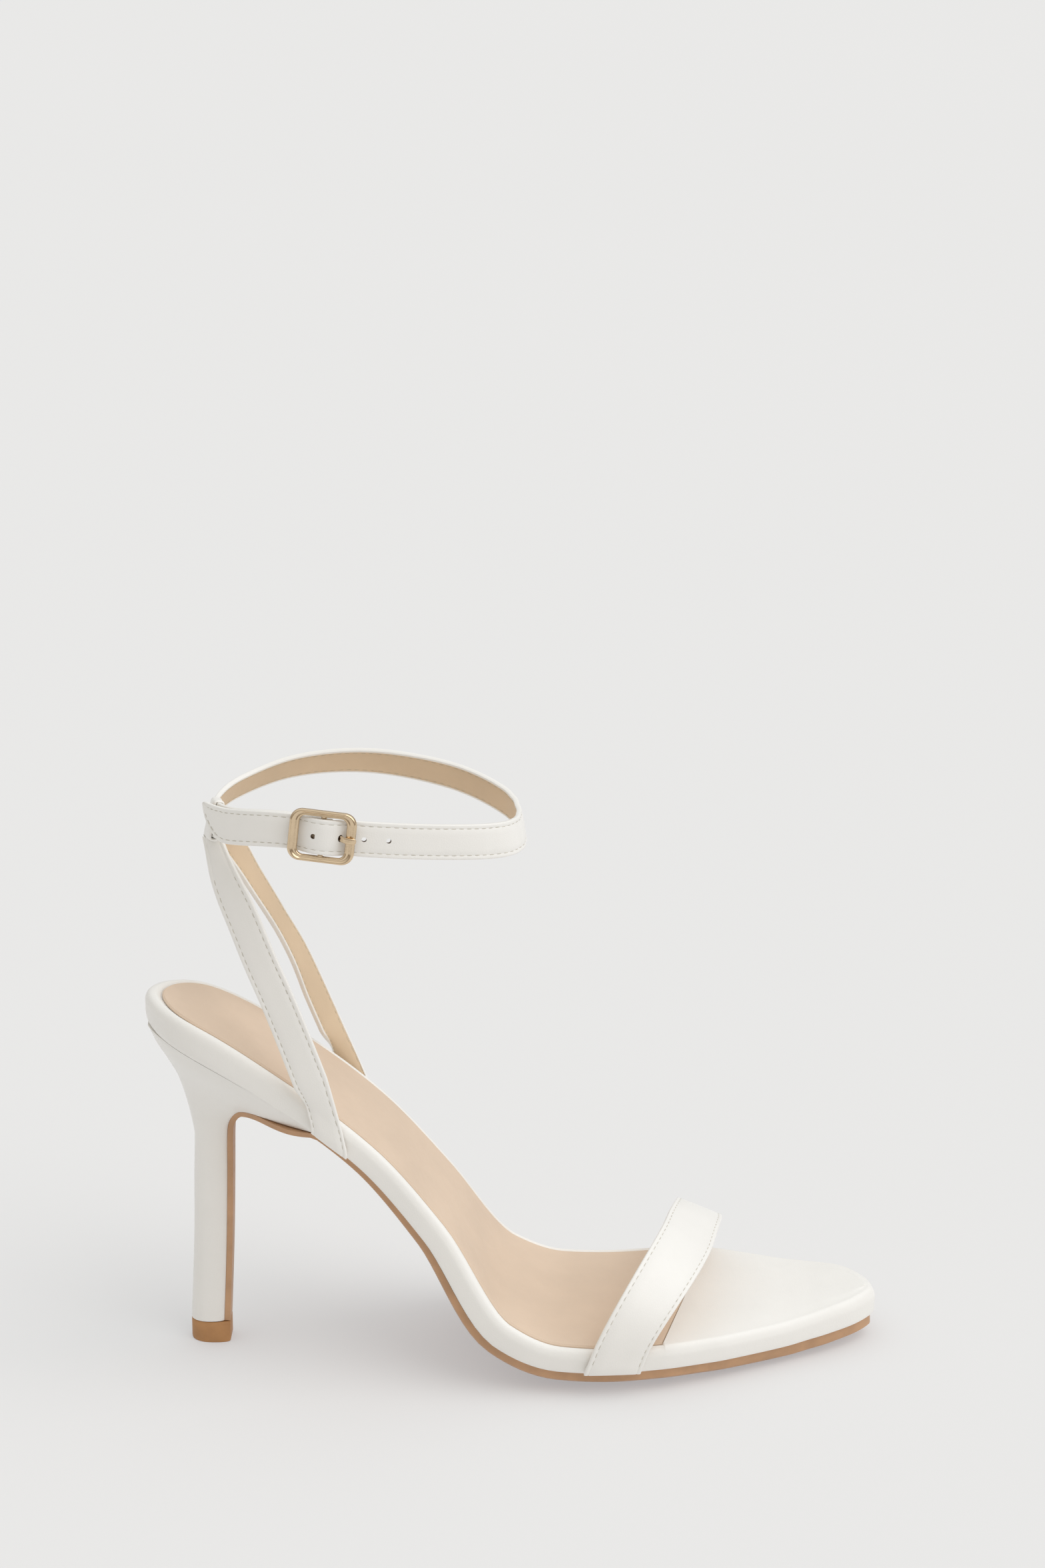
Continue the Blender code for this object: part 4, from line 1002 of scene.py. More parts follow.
def sock():
    """The insole's thin leather, with a softened edge, up to its slanted front."""
    front = front_angle()
    soft = INSOLE_THICKNESS * INSOLE_SOFT
    angles = [angle for angle in bed_stations() if angle < front - STEP_RUN / 6]
    # Its end is hidden in the step
    angles.append(front + STEP_RUN * 0.9)
    top = CLEARANCE + INSOLE_THICKNESS
    loops = []
    for angle in angles:
        inset = rim_width_at(angle) + CLEARANCE
        low = row_across(angle, inset, BED_COLUMNS, lambda x, y: CLEARANCE)
        middle = row_across(angle, inset, BED_COLUMNS, lambda x, y: top - soft)
        high = row_across(angle, inset + soft, BED_COLUMNS, lambda x, y: top)
        loops.append([middle[0]] + high + [middle[-1]] + low[::-1])
    mesh = skin_mesh("sock", loops, caps=(False, True))
    return piece("sock", mesh, [SOCK], "tan_lining", ["insole"])


def fine_stem():
    """The stem's plan with points between the rows of STEM, closer at its round back."""
    return [row_between(STEM, k / FINER) for k in range(FINER * (len(STEM) - 1) + 1)]


def seam_rise(x):
    """How far the heel's cover reaches up behind the board's rounded lower edge."""
    rows = BOARD_EDGE[5:]
    depth = Curve([row.inset for row in rows], [row.depth for row in rows])
    share = HEEL_EDGE_INSET / rim_width_at(angle_at(x / SOLE_LENGTH))
    fill = mix(1.0, SEAM_FILL, smooth_step(x / SEAM_OPENS))
    return fill * board_thickness(x) * (1 - depth(min(share, rows[-1].inset)))


def both_sides(rows, point_at):
    """A closed loop of points: the lateral side from the back forward, then the medial side."""
    lateral, medial = ([point_at(row, side) for row in rows] for side in (-1, 1))
    return lateral + medial[:0:-1]


def heel_loop(level, rows):
    """A closed loop round the heel. The top level lies on the board's underside."""
    spread = row_between(HEEL, level).spread
    back, front = heel_ends(level)
    seat_back = seat_point(HEEL_EDGE_INSET, 0.0)
    seat_front = seat_point(WEDGE_END, 0.0)

    def point_at(row, side):
        edge = seat_edge(row.along, side)
        on_seat = seat_point(edge.x, edge.y)
        if level == len(HEEL) - 1:
            return on_seat + bed_normal(edge.x) * seam_rise(edge.x)
        point = back.lerp(front, row.along)
        point.y = side * heel_half(level, row)
        point.z += (on_seat.z - mix(seat_back.z, seat_front.z, row.along)) * spread * spread
        return point

    return both_sides(rows, point_at)


def ladder_cap(bm, loop, count):
    """Closes a loop whose first point is its back end with strips across it."""
    bm.faces.new((loop[0], loop[1], loop[-1]))
    for k in range(1, count - 1):
        bm.faces.new((loop[k], loop[k + 1], loop[-k - 1], loop[-k]))


def capped_mesh(name, loops, count):
    bm = bmesh.new()
    rings = skin(bm, loops, caps=(False, False))
    ladder_cap(bm, rings[0], count)
    ladder_cap(bm, rings[-1], count)
    return closed_mesh(bm, name)


def heel_cover():
    """The covered heel, cut level just over its wear block."""
    rows = fine_stem()
    steps = 6
    levels = [k / steps for k in range(steps * (len(HEEL) - 1) + 1)]
    loops = [heel_loop(level, rows) for level in levels]
    floor = TOP_PIECE_HEIGHT + CLEARANCE
    loops[0] = [Vector((p.x, p.y, floor)) for p in loops[0]]
    mesh = capped_mesh("heel_cover", loops, len(rows))
    return piece("heel_cover", mesh, [WHITE], "white", ["heel"])


def top_block():
    """The heel's wear block, with rounded lower and upper edges."""
    rows = fine_stem()
    back, front = heel_ends(0)
    length = front.x - back.x + CLEARANCE + FLAP_THICKNESS
    # Each loop's height and size, as shares of the block's
    levels = ((0.0, 0.94), (0.02, 0.97), (0.08, 1.0), (0.94, 1.0), (0.98, 0.985), (1.0, 0.96))
    loops = []
    for height, size in levels:

        def point_at(row, side):
            x = back.x + length * mix(0.5, row.along, size)
            y = side * STEM_WIDTH / 2 * row.half * size
            return Vector((x, y, TOP_PIECE_HEIGHT * height))

        loops.append(both_sides(rows, point_at))
    mesh = capped_mesh("top_block", loops, len(rows))
    return piece("top_block", mesh, [RUBBER], "brown_rubber", ["heel_top_piece"])


def flap_sections(columns):
    """Sections of the outsole's flap up the heel's breast and under its wedge."""
    top = len(HEEL) - 1
    near = 0.05
    levels = [k / 8 for k in range(8 * top - 1)] + [top - 2 * near]
    sections = []
    for level in levels:
        low = heel_ends(max(0.0, level - near))[1]
        high = heel_ends(min(top, level + near))[1]
        along = (high - low).normalized()
        down = Vector((along.z, 0.0, -along.x))
        front = heel_ends(level)[1]
        if level == 0:
            front = front + along * ((TOP_PIECE_HEIGHT + CLEARANCE - front.z) / along.z)
        half = heel_half(level, STEM[-1])
        # It widens and thickens into the tread over the last levels
        half = mix(half, half_width_at(WEDGE_END) - OUTSOLE_INSET, smooth_step((level - 8) / 2))
        thickness = mix(FLAP_THICKNESS, OUTSOLE_THICKNESS * TREAD(0.2), smooth_step(level / top))
        gap = CLEARANCE * (1 + smooth_step((level - 7) / 3))
        inner, outer = [], []
        for k in range(columns + 1):
            foot = Vector((front.x, mix(half, -half, k / columns), front.z))
            inner.append(foot + down * gap)
            outer.append(foot + down * (gap + thickness))
        sections.append((inner, outer))
    return sections


def tread_sections(columns):
    """Sections of the outsole from the wedge's front end to the toe, on the board's rows."""
    first = angle_at((WEDGE_END + OUTSOLE_THICKNESS / 2) / SOLE_LENGTH)
    sections = []
    for angle in [a for a in bed_stations() if slanted(a, -1) > first]:
        inner = row_across(angle, OUTSOLE_INSET, columns, outsole_top)
        outer = row_across(angle, OUTSOLE_INSET, columns, outsole_bottom)
        outer = [Vector((p.x, p.y, max(0.0, p.z))) for p in outer]
        sections.append((inner, outer))
    return sections


def tread():
    """The outsole and its flap, with softened edges."""
    soft = TREAD_SOFT
    loops = []
    for inner, outer in flap_sections(TREAD_COLUMNS) + tread_sections(TREAD_COLUMNS):
        closer = CLEARANCE * TREAD_CLOSER
        inner = [a + (a - b).normalized() * closer for a, b in zip(inner, outer)]
        start = inner[0].lerp(outer[0], 1 - soft)
        end = inner[-1].lerp(outer[-1], 1 - soft)
        first = outer[0].lerp(outer[1], soft)
        last = outer[-1].lerp(outer[-2], soft)
        loops.append(inner + [end, last] + outer[1:-1][::-1] + [first, start])
    mesh = skin_mesh("tread", loops, caps=(True, False))
    return piece("tread", mesh, [SOLE_BROWN], "brown_sole", ["outsole"])


# Straps
def spread_out(sections, step):
    """More sections between these, on smooth lines through their middles, faces and widths."""
    places = range(len(sections))
    lines = []
    for part in range(3):
        for axis in range(3):
            lines.append(Curve(places, [section[part][axis] for section in sections]))
    finer = []
    for k in range(len(sections) - 1):
        parts = max(1, round((sections[k + 1][0] - sections[k][0]).length / step))
        count = parts + (k == len(sections) - 2)
        for n in range(count):
            values = [line(k + n / parts) for line in lines]
            finer.append(tuple(Vector(values[3 * part:3 * part + 3]) for part in range(3)))
    return finer


class Strap:
    """A strap as frames along its length, each with a low and a high edge across it."""

    def __init__(self, name, frames, creases=()):
        self.name = name
        self.frames = frames
        self.creases = creases
        self.lengths = [0.0]
        for a, b in zip(frames, frames[1:]):
            self.lengths.append(self.lengths[-1] + (b[0] - a[0]).length)
        self.length = self.lengths[-1]

    @classmethod
    def from_sections(cls, name, sections):
        """Frames from (middle, outward direction, width) sections of an even strap."""
        finer = spread_out(sections, SKIN_STEP)
        middles = [section[0] for section in finer]
        frames = []
        for i, (middle, out, width) in enumerate(finer):
            face = run_at(middles, i).cross(width).normalized()
            if face.dot(out) < 0:
                face = -face
            half = width.length / 2
            frames.append((middle, face, width.normalized(), -half, half))
        return cls(name, frames)

    def at(self, length):
        """The strap's frame at a length between its ends."""
        length = min(self.length, max(0.0, length))
        k = 0
        while k < len(self.lengths) - 2 and self.lengths[k + 1] < length:
            k += 1
        share = (length - self.lengths[k]) / max(self.lengths[k + 1] - self.lengths[k], 1e-9)
        a, b = self.frames[k], self.frames[k + 1]
        vectors = [a[n].lerp(b[n], share) for n in range(3)]
        return (*vectors, mix(a[3], b[3], share), mix(a[4], b[4], share))

    def dent(self, length, across):
        """How deep the creases lie at a point of the strap."""
        total = 0.0
        for row in self.creases:
            away = (length - row.along * self.length - row.slant * across) / row.width
            total += row.depth * math.exp(-away * away)
        return total

    def point(self, length, across, height):
        """A point at that distance over the strap's middle surface."""
        middle, out, width, _, _ = self.at(length)
        return middle + width * across + out * (height - self.dent(length, across))

    def mesh(self):
        loops = []
        for length, (middle, out, width, low, high) in zip(self.lengths, self.frames):
            loop = []
            for across, height, _ in strap_profile(low, high):
                lift = height - self.dent(length, across)
                loop.append(middle + width * across + out * lift)
            loops.append(loop)
        slots = [slot for _, _, slot in strap_profile(-1.0, 1.0)]
        return skin_mesh(self.name, loops, slots=slots)


def strap_profile(low, high):
    """Round the strap's section: (across, height, material slot of the strip that follows).

    It has a soft crown, a groove along each line of stitches, rounded turned edges and a
    lining set a little below them.
    """
    face = STRAP_THICKNESS / 2
    middle, half = (low + high) / 2, (high - low) / 2
    # Towards a narrow tip everything on the strap shrinks
    fit = min(1.0, half / (STITCH_INSET * 2.6))
    corner, lining = STRAP_EDGE * fit, LINING_INSET * fit
    stitch, groove = STITCH_INSET * fit, STITCH_GROOVE_HALF * fit
    outer = [
        (0.0, face + STRAP_CROWN),
        (half * 0.4, face + STRAP_CROWN * 0.8),
        (half - stitch - groove, face + STRAP_CROWN * 0.25),
        (half - stitch, face - STITCH_GROOVE),
        (half - stitch + groove, face + STRAP_CROWN * 0.1),
    ]
    for k in range(4):
        x, y = corner * math.sin(math.pi / 2 * k / 3), corner * math.cos(math.pi / 2 * k / 3)
        outer.append((half - corner + x, face - corner + y))
    for k in range(3):
        x, y = corner * math.cos(math.pi / 2 * k / 2), corner * math.sin(math.pi / 2 * k / 2)
        outer.append((half - corner + x, corner - face - y))
    outer.append((half - lining, -face))
    flat = LINING_DROP - face
    lined = [
        (half - lining - 0.0001 * fit, flat),
        (half - stitch + groove * 0.6, flat),
        (half - stitch, flat + STITCH_GROOVE * 0.5),
        (half - stitch - groove * 0.6, flat),
        (half * 0.4, flat),
    ]
    side = [(*point, 0) for point in outer] + [(*point, 1) for point in lined]
    # The far side mirrors this one, and each strip takes its slot from its first point
    mirrored = [(-a, b, 1 if k > len(outer) else 0) for k, (a, b, _) in enumerate(side)][1:]
    loop = side + [(0.0, flat, 1)] + mirrored[::-1]
    return [(middle + a, b, slot) for a, b, slot in loop]


def toe_strap():
    """The band over the toes, from its lateral foot to its medial one."""
    stations = 34
    rear, front = TOE_STRAP_REAR, TOE_STRAP_FRONT
    lateral = (rear.foot_lateral * SOLE_LENGTH, front.foot_lateral * SOLE_LENGTH, -1)
    medial = (rear.foot_medial * SOLE_LENGTH, front.foot_medial * SOLE_LENGTH, 1)
    foot = (FOOT_END, 0.7, 0.55, 0.4)
    sections = [toe_foot(*lateral, share) for share in foot]
    for i in range(stations + 1):
        turn = math.pi * i / stations
        low, high = arch_point(rear, turn), arch_point(front, turn)
        out = Vector((0.0, -math.cos(turn), math.sin(turn)))
        sections.append(((low + high) / 2, out, high - low))
    sections += [toe_foot(*medial, share) for share in foot[::-1]]
    return Strap.from_sections("toe_strap_leather", sections)


def quarter_strap(name, rows, foot, side):
    """One quarter strap from its foot up to the loop, side being -1 for the lateral one."""
    top = ANKLE_HEIGHT + ANKLE_TILT / 2
    sections = []
    for share in (FOOT_END, 0.72, 0.6, 0.45, 0.25, 0.0):
        x = foot * SOLE_LENGTH + FOOT_RAKE * share
        sections.append(foot_section(x - FOOT_SPREAD / 2, x + FOOT_SPREAD / 2, side, share))
    stations = 24
    middles, outs = [], []
    for i in range(stations + 1):
        row = row_between(rows, i / stations * (len(rows) - 1))
        bearing, tilt = math.radians(row.bearing), math.radians(row.tilt)
        flat = Vector((-math.cos(bearing), side * math.sin(bearing), 0.0))
        outs.append(flat * math.cos(tilt) + Vector((0.0, 0.0, math.sin(tilt))))
        across = side * row.across * BALL_WIDTH
        middles.append(Vector((row.along * SOLE_LENGTH, across, row.up * top)))
    for i, (middle, out) in enumerate(zip(middles, outs)):
        width = out.cross(run_at(middles, i)).normalized() * QUARTER_STRAP_WIDTH * side
        width.z *= 1 - smooth_step((i / stations - 0.7) / 0.3)
        sections.append((middle, out, width))
    return Strap.from_sections(name, sections)


def ankle_strap(ring):
    """The strap from its folded end on the bar, round the ankle, to its tail's tip."""
    path = ankle_strap_path(ring)
    places = range(len(path))
    lines = [Curve(places, [step[n] for step in path]) for n in range(4)]
    steps = []
    for k in range(len(path) - 1):
        near = max(abs(path[k + 1][0] - path[k][0]), abs(path[k + 1][1] - path[k][1]))
        parts = max(1, math.ceil(near / SKIN_STEP))
        steps += [k + n / parts for n in range(parts)]
    steps.append(len(path) - 1)
    half = ANKLE_STRAP_WIDTH / 2
    middles, edges = [], []
    for place in steps:
        length, offset, low, high = (line(place) for line in lines)
        middle, _, up, _ = ring.frame(length, offset)
        middles.append(middle)
        edges.append((up, low * half, high * half))
    frames = []
    for i, (middle, (up, low, high)) in enumerate(zip(middles, edges)):
        frames.append((middle, up.cross(run_at(middles, i)).normalized(), up, low, high))
    return Strap("ankle_strap_leather", frames, CREASES)


def back_loop(ring):
    """The loop on the quarter straps' joined tops that the ankle strap slides through."""
    room = STRAP_THICKNESS / 2 + LOOP_ROOM
    height = ANKLE_STRAP_WIDTH / 2 + LOOP_ROOM
    layer = STRAP_THICKNESS + CLEARANCE
    stations = 16
    soft = LOOP_WALL * LOOP_SOFT
    loops = []
    for k in range(stations + 1):
        share = k / stations
        middle, face, up, _ = ring.frame(LOOP_START + LOOP_LENGTH * LOOP_SHOWN * share, -layer)
        # It runs further down, into the straps' tops
        middle = middle - up * LOOP_DROP
        trim = soft if k in (0, stations) else 0.0
        a, b = room + LOOP_WALL - trim, height + LOOP_WALL - trim
        outer = rounded_rectangle(2 * a, 2 * b, LOOP_WALL + CLEARANCE, 5)
        inner = rounded_rectangle(2 * (room + trim), 2 * (height + trim), CLEARANCE, 5)
        loops.append(([middle + face * p + up * q for p, q in outer],
                      [middle + face * p + up * q for p, q in inner]))
    rings = [outer for outer, _ in loops] + [inner for _, inner in loops[::-1]]
    return skin_mesh("back_loop", rings, closed=True)


# Stitches
def inset_line(edge, inset):
    """The line beside a flat edge at that distance, on the right of its run."""
    line = []
    for i, point in enumerate(edge):
        run = run_at(edge, i)
        place = point + Vector((run.y, -run.x)) * inset
        if all((place - other).length > inset * 0.97 for other in edge):
            line.append(place)
    return line


def edge_lines(strap, start, end, round_tip):
    """The strap's upper and lower edges laid flat, joined round its tip if it has one."""
    count = round((end - start) / 0.0006)
    lengths = [mix(start, end, k / count) for k in range(count + 1)]
    upper = [Vector((length, strap.at(length)[4])) for length in lengths]
    lower = [Vector((length, strap.at(length)[3])) for length in lengths[::-1]]
    return [upper + lower] if round_tip else [upper, lower]


def dashes(line):
    """(start, end) of each stitch along a flat line."""
    found = []
    wanted = STITCH_PITCH / 2
    run = 0.0
    for a, b in zip(line, line[1:]):
        step = (b - a).length
        while wanted <= run + step and step > 0:
            middle = a.lerp(b, (wanted - run) / step)
            half = (b - a).normalized() * (STITCH_LENGTH / 2)
            found.append((middle - half, middle + half))
            wanted += STITCH_PITCH
        run += step
    return found


def add_stitch(bm, start, end, out):
    """A thread lying from start to end, which dips at both ends."""
    along = (end - start).normalized()
    side = along.cross(out).normalized()
    rings = []
    # Each ring's place along the stitch, its size, and how far it sinks into the leather
    for share, size, sink in ((0.0, 0.45, 0.9), (0.12, 0.9, 0.3), (0.5, 1.0, 0.0),
                              (0.88, 0.9, 0.3), (1.0, 0.45, 0.9)):
        middle = start.lerp(end, share) - out * (THREAD_RADIUS * sink)
        ring = []
        for k in range(6):
            turn = math.pi * 2 * k / 6
            spoke = side * math.cos(turn) + out * math.sin(turn) * 0.8
            ring.append(middle + spoke * (THREAD_RADIUS * size))
        rings.append(ring)
    skin(bm, rings)


def off_groove(strap, place):
    """How much higher a stitch lies where it leaves the groove, as it does round a slanted tip."""
    low, high = strap.at(place.x)[3:]
    on_groove = min(place.y - low, high - place.y) < STITCH_INSET * 1.1
    return 0.0 if on_groove else STITCH_GROOVE + STRAP_CROWN * 0.6


def stitch_strap(name, strap, start, end, round_tip=False, inner_end=None):
    """Stitches on both faces of a strap, along both edges."""
    outer = STRAP_THICKNESS / 2 - STITCH_GROOVE * 0.8
    inner = STRAP_THICKNESS / 2 - LINING_DROP - STITCH_GROOVE * 0.3
    faces = ((1, outer, THREAD_WITH_PAINTED_SHADE, end, round_tip, "outer", "white"),
             (-1, inner, LINING_THREAD, inner_end or end, False, "inner", "tan_lining"))
    for sign, height, material, stop, tip, word, slot in faces:
        bm = bmesh.new()
        for edge in edge_lines(strap, start, stop, tip):
            for dash in dashes(inset_line(edge, STITCH_INSET)):
                lifts = [sign * (height + off_groove(strap, p)) for p in dash]
                ends = [strap.point(p.x, p.y, lift) for p, lift in zip(dash, lifts)]
                add_stitch(bm, *ends, strap.at(dash[0].x)[1] * sign)
        mesh = closed_mesh(bm, f"{name}_{word}")
        piece(f"{name}_{word}", mesh, [material], slot, sharp=THREAD_SHARP)


def loop_stitches(ring):
    """The short seam across the back loop's outer face."""
    offset = STRAP_THICKNESS / 2 + LOOP_ROOM + LOOP_WALL - (STRAP_THICKNESS + CLEARANCE)
    bm = bmesh.new()
    for k in range(2):
        ends = []
        for share in (0.22 + 0.34 * k, 0.46 + 0.34 * k):
            length = LOOP_START + LOOP_LENGTH * LOOP_SHOWN * share
            middle, face, up, _ = ring.frame(length, offset)
            ends.append(middle + up * (LOOP_SEAM * ANKLE_STRAP_WIDTH))
        add_stitch(bm, *ends, face)
    return closed_mesh(bm, "back_loop_stitches")


# Holes and buckle
def rod(middle, axis, radius, length, sides=28, soft=0.0):
    """A round bar about an axis, with its ends rounded off by soft."""
    bm = bmesh.new()
    side = axis.orthogonal().normalized()
    other = axis.cross(side)
    levels = [(-0.5, soft), (-0.5 + soft / length, 0.0), (0.5 - soft / length, 0.0), (0.5, soft)]
    loops = []
    for share, less in levels if soft else [(-0.5, 0.0), (0.5, 0.0)]:
        centre = middle + axis * (length * share)
        turns = [2 * math.pi * k / sides for k in range(sides)]
        size = radius - less
        loops.append([centre + (side * math.cos(a) + other * math.sin(a)) * size for a in turns])
    skin(bm, loops)
    return closed_mesh(bm, "rod")


def with_holes(obj, cutters):
    """Cuts holes in a piece for good. Their walls keep the cutters' material, a dark brown that is
    painted shade inside the holes.
    """
    helpers = []
    for k, mesh in enumerate(cutters):
        mesh.materials.append(HOLE_PAINTED_SHADE)
        mesh.transform(Matrix.Translation(STAND))
        helper = add_object(f"hole_{k}", mesh)
        helpers.append(helper)
        modifier = obj.modifiers.new(helper.name, "BOOLEAN")
        modifier.operation = "DIFFERENCE"
        modifier.object = helper
        modifier.material_mode = "TRANSFER"
        # Only the prong's cutter crosses itself, and this setting is slow.
        modifier.use_self = k == len(cutters) - 1
    graph = bpy.context.evaluated_depsgraph_get()
    cut = bpy.data.meshes.new_from_object(obj.evaluated_get(graph))
    obj.modifiers.clear()
    obj.data = cut
    cut.set_sharp_from_angle(angle=math.radians(LEATHER_SHARP))
    for helper in helpers:
        bpy.data.objects.remove(helper, do_unlink=True)


# The frame's section from its outer edge in: across is a share of the rail's width and height of
# half the frame's thickness. A rounded rim, a face that slopes in, and a rounded inner rim.
RAIL_SECTION = table("across height", (
    (0.00, -0.50), (0.00, 0.10), (0.03, 0.46), (0.09, 0.76), (0.17, 0.94),
    (0.26, 1.00), (0.34, 0.94), (0.43, 0.78), (0.52, 0.60), (0.58, 0.52),
    (0.64, 0.55), (0.71, 0.64), (0.80, 0.66), (0.89, 0.52), (0.96, 0.22),
    (1.00, -0.16), (0.94, -0.86), (0.84, -1.00), (0.14, -1.00), (0.04, -0.84),
))


def buckle(ring):
    """The frame with its beaded rails, and the bar that the strap folds round."""
    middle, face, up, forward = ring.frame(0.0, buckle_offset())
    outer = rounded_rectangle(BUCKLE_LENGTH, BUCKLE_HEIGHT, BUCKLE_CORNER, 14)
    inner = rounded_rectangle(
        BUCKLE_LENGTH - 2 * BUCKLE_SIDE, BUCKLE_HEIGHT - 2 * BUCKLE_RAIL, BUCKLE_CORNER / 2, 14
    )
    loops = []
    for (ox, oy), (ix, iy) in zip(outer, inner):
        loop = []
        for row in RAIL_SECTION:
            x, y = mix(ox, ix, row.across), mix(oy, iy, row.across)
            lift = face * (row.height * BUCKLE_THICKNESS / 2)
            loop.append(middle + forward * x + up * y + lift)
        loops.append(loop)
    mesh = skin_mesh("buckle", loops, closed=True)
    piece("buckle", mesh, [GOLD], "pale_gold", ["buckle_frame"], sharp=METAL_SHARP)
    bar_middle = middle - face * BAR_DEPTH
    bar = rod(bar_middle, up, BAR_RADIUS, BUCKLE_HEIGHT - BUCKLE_RAIL * 1.6)
    piece("buckle_bar", bar, [GOLD], "pale_gold")
    for side, word in ((-1, "low"), (1, "high")):
        seat = middle - face * (BAR_DEPTH / 2)
        seat = seat + up * side * (BUCKLE_HEIGHT - BUCKLE_RAIL * 1.5) / 2
        lug = rod(seat, face, BAR_RADIUS, BAR_DEPTH + BAR_RADIUS, soft=0.0002)
        piece(f"buckle_lug_{word}", lug, [GOLD], "pale_gold")


def prong_mesh(ring, radius, breadth, flat=1.0, sides=24):
    """The prong: a hook under the bar, then a rod up through a hole that lies on the frame."""
    middle, face, up, forward = ring.frame(0.0, buckle_offset())
    eye = BAR_RADIUS + CLEARANCE + PRONG_RADIUS
    path = []
    for k in range(6):
        turn = math.radians(mix(120, 250, k / 5))
        path.append((math.sin(turn) * eye, math.cos(turn) * eye - BAR_DEPTH))
    path += [(row.along * BUCKLE_LENGTH, row.out * BUCKLE_THICKNESS) for row in PRONG]
    lines = [Curve(range(len(path)), column) for column in zip(*path)]
    steps = range(FINER * (len(path) - 1) + 1)
    path = [Vector([line(k / FINER) for line in lines]) for k in steps]
    loops = []
    last = len(path) - 1
    for i, (along, out) in enumerate(path):
        run = run_at(path, i)
        normal = forward * run.y - face * run.x
        centre = middle + forward * along + face * out
        # Its two ends are rounded off
        away = min(i, last - i)
        size = radius * (0.45, 0.78, 0.94)[away] if away < 3 else radius
        turns = [2 * math.pi * k / sides for k in range(sides)]
        loops.append([centre + normal * (min(math.cos(a), flat) * size) +
                      up * (math.sin(a) * size * breadth) for a in turns])
    return skin_mesh("prong", loops)


def upper():
    """The straps with their linings, holes and stitches, the back loop and the buckle."""
    ring = Ring()
    toe = toe_strap()
    lateral = quarter_strap("lateral_strap_leather", LATERAL_STRAP, LATERAL_FOOT, -1)
    medial = quarter_strap("medial_strap_leather", MEDIAL_STRAP, MEDIAL_FOOT, 1)
    for straps, node, short in (([toe], "toe_strap", SEAM_START),
                                ([lateral, medial], "quarter_straps", SEAM_STOPS_SHORT)):
        for strap in straps:
            piece(strap.name, strap.mesh(), [WHITE, LINING], "white", [node])
        for strap in straps:
            seam = strap.name.replace("leather", "stitches")
            stitch_strap(seam, strap, SEAM_START, strap.length - short)
    piece("back_loop_leather", back_loop(ring), [WHITE], "white", ["quarter_straps"])
    piece("back_loop_stitches", loop_stitches(ring), [THREAD_WITH_PAINTED_SHADE], "white", sharp=THREAD_SHARP)
    ankle = ankle_strap(ring)
    strap = piece(ankle.name, ankle.mesh(), [WHITE, LINING], "white", ["ankle_strap"])
    cutters = []
    for k in (-2, -1, 1):
        place = PRONG_HOLE + k * HOLE_PITCH
        middle, face, _, _ = ring.frame(ring.girth + place, tail_offset(place))
        depth = STRAP_THICKNESS * PUNCH_DEPTH
        cutters.append(rod(middle, face, HOLE_RADIUS * PUNCH_SHARE, depth))
    cutters.append(prong_mesh(ring, PRONG_RADIUS + CLEARANCE / 2, PRONG_BREADTH))
    with_holes(strap, cutters)
    inner_end = ankle.length - SEAM_STOPS_SHORT
    stitch_strap("ankle_strap_stitches", ankle, ANKLE_SEAM_START, ankle.length, True, inner_end)
    buckle(ring)
    prong = prong_mesh(ring, PRONG_RADIUS, PRONG_BREADTH, PRONG_FLAT)
    piece("buckle_tongue", prong, [GOLD], "pale_gold", ["buckle_prong"], sharp=METAL_SHARP)


# Floor, light and camera
def floor():
    """A wide pale floor that glows a little, so that it fades into the backdrop. The glow is
    painted light that lightens the shadows cast on it.
    """
    half = FLOOR_SIZE / 2
    mesh = bpy.data.meshes.new("floor")
    corners = [(-half, -half, 0.0), (half, -half, 0.0), (half, half, 0.0), (-half, half, 0.0)]
    mesh.from_pydata(corners, [], [(0, 1, 2, 3)])
    nodes = new_material("floor_grey")
    nodes.paint(nodes.wander(0.6), FLOOR_DARK, FLOOR_LIGHT)
    nodes.shader.inputs["Roughness"].default_value = 1.0
    nodes.shader.inputs["Specular IOR Level"].default_value = 0.0
    # Painted light: a cool glow that lightens the shadows cast on the floor
    nodes.shader.inputs["Emission Color"].default_value = FLOOR_GLOW_TINT
    nodes.shader.inputs["Emission Strength"].default_value = FLOOR_GLOW
    mesh.materials.append(nodes.owner)
    add_object("floor", mesh)


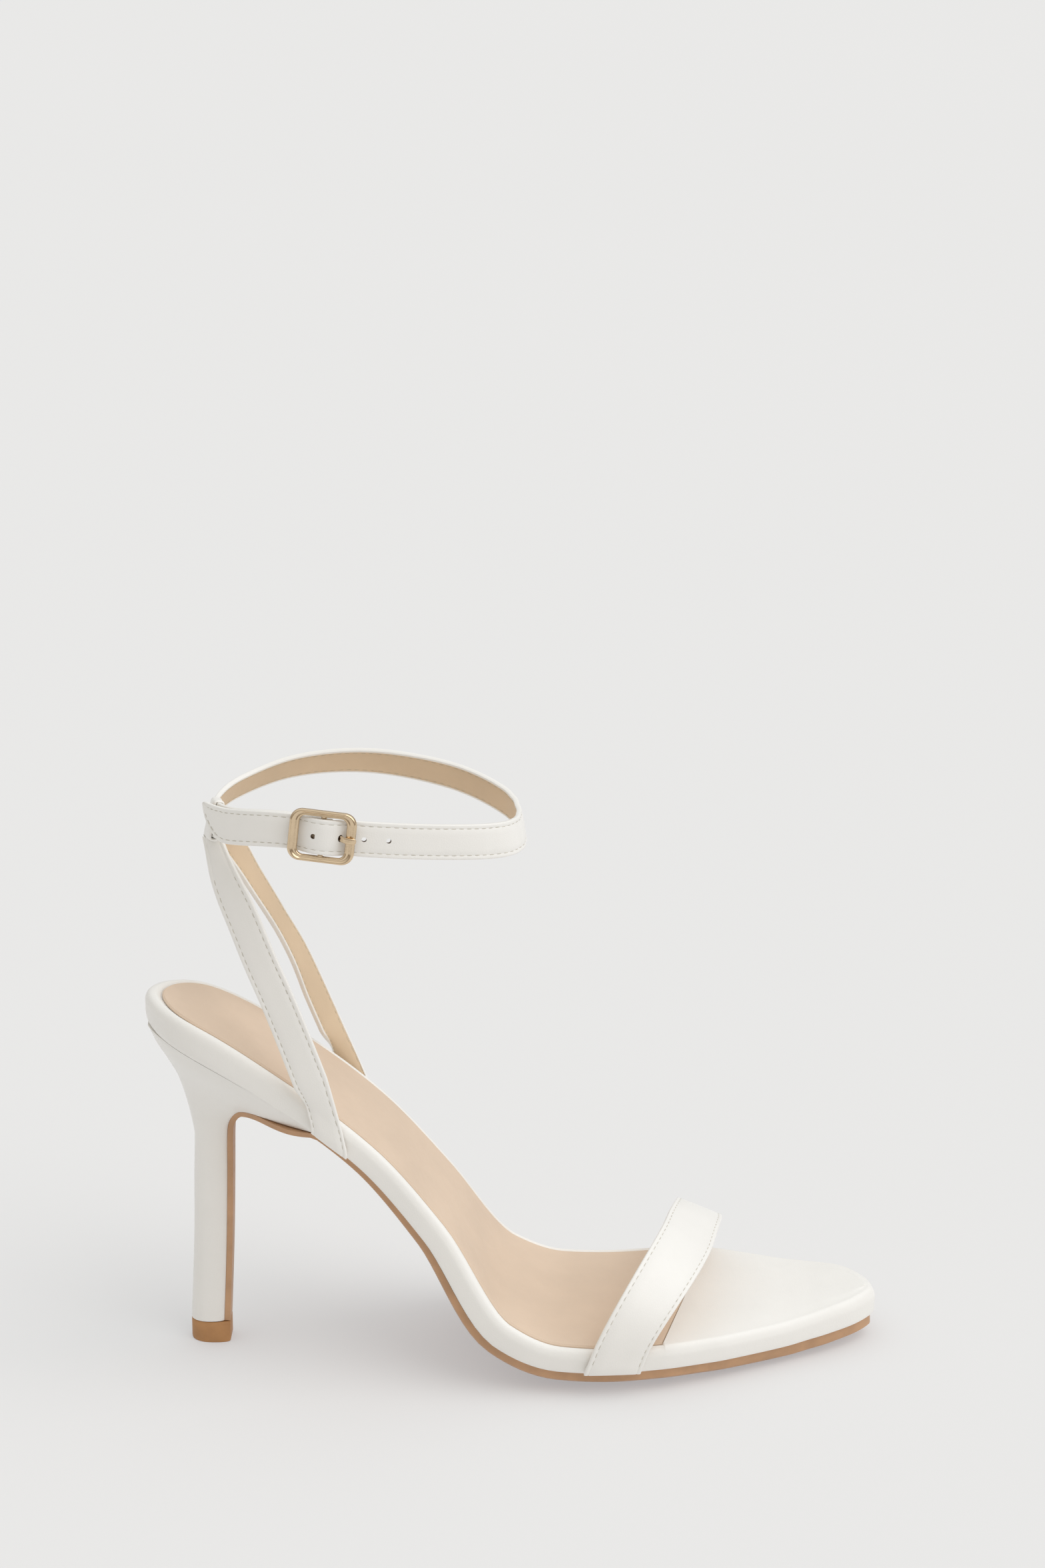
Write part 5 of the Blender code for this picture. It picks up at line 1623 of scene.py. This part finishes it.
def sun(name, strength, azimuth, elevation, softness):
    """A far soft light. azimuth turns it from the camera's side, towards the toe."""
    light = bpy.data.lights.new(name, "SUN")
    light.energy = strength
    light.angle = math.radians(softness)
    light.color = SUN_TINT
    obj = add_object(name, light)
    turn, rise = math.radians(azimuth), math.radians(elevation)
    towards = Vector((math.sin(turn) * math.cos(rise), -math.cos(turn) * math.cos(rise),
                      math.sin(rise)))
    obj.rotation_euler = towards.to_track_quat("Z", "Y").to_euler()


def sky():
    """An even studio sky, which the metal reflects."""
    world = bpy.data.worlds.new("studio")
    bpy.context.scene.world = world
    nodes = Nodes(world, "Background", "Generated")
    parts = nodes.add("ShaderNodeSeparateXYZ")
    nodes.join(nodes.place, parts.inputs[0])
    height = parts.outputs["Z"]
    rise = nodes.span(height, 0.0, ZENITH_FROM)
    forward = nodes.span(parts.outputs["Y"], -1.0, FRONT_FROM)
    product = nodes.add("ShaderNodeMix", data_type="RGBA", blend_type="MULTIPLY")
    product.inputs["Factor"].default_value = 1.0
    nodes.join(nodes.blend(rise, HORIZON_TINT, ZENITH_TINT), product.inputs["A"])
    nodes.join(nodes.blend(forward, BEHIND_TINT, FRONT_TINT), product.inputs["B"])
    nodes.feed(Strength=nodes.span(height, 0.0, SKY_FULL_AT, SKY_LOW, SKY_HIGH),
               Color=product.outputs["Result"])


def camera():
    """The photograph's view."""
    data = bpy.data.cameras.new("camera")
    data.sensor_fit = "VERTICAL"
    data.sensor_height = CAMERA_SENSOR
    data.lens = CAMERA_LENS
    data.clip_end = 100.0
    obj = add_object("camera", data)
    obj.location = CAMERA_PLACE + STAND
    turn = (math.radians(90 - CAMERA_ELEVATION), 0.0, math.radians(CAMERA_AZIMUTH))
    obj.rotation_euler = turn
    bpy.context.scene.camera = obj


camera()
footbed_wrap()
sock()
heel_cover()
top_block()
tread()
upper()
floor()
sky()
sun("key", 1.02, azimuth=70, elevation=50, softness=62)
sun("toe_side", 0.16, azimuth=78, elevation=22, softness=40)
bpy.context.scene.view_settings.view_transform = "Standard"
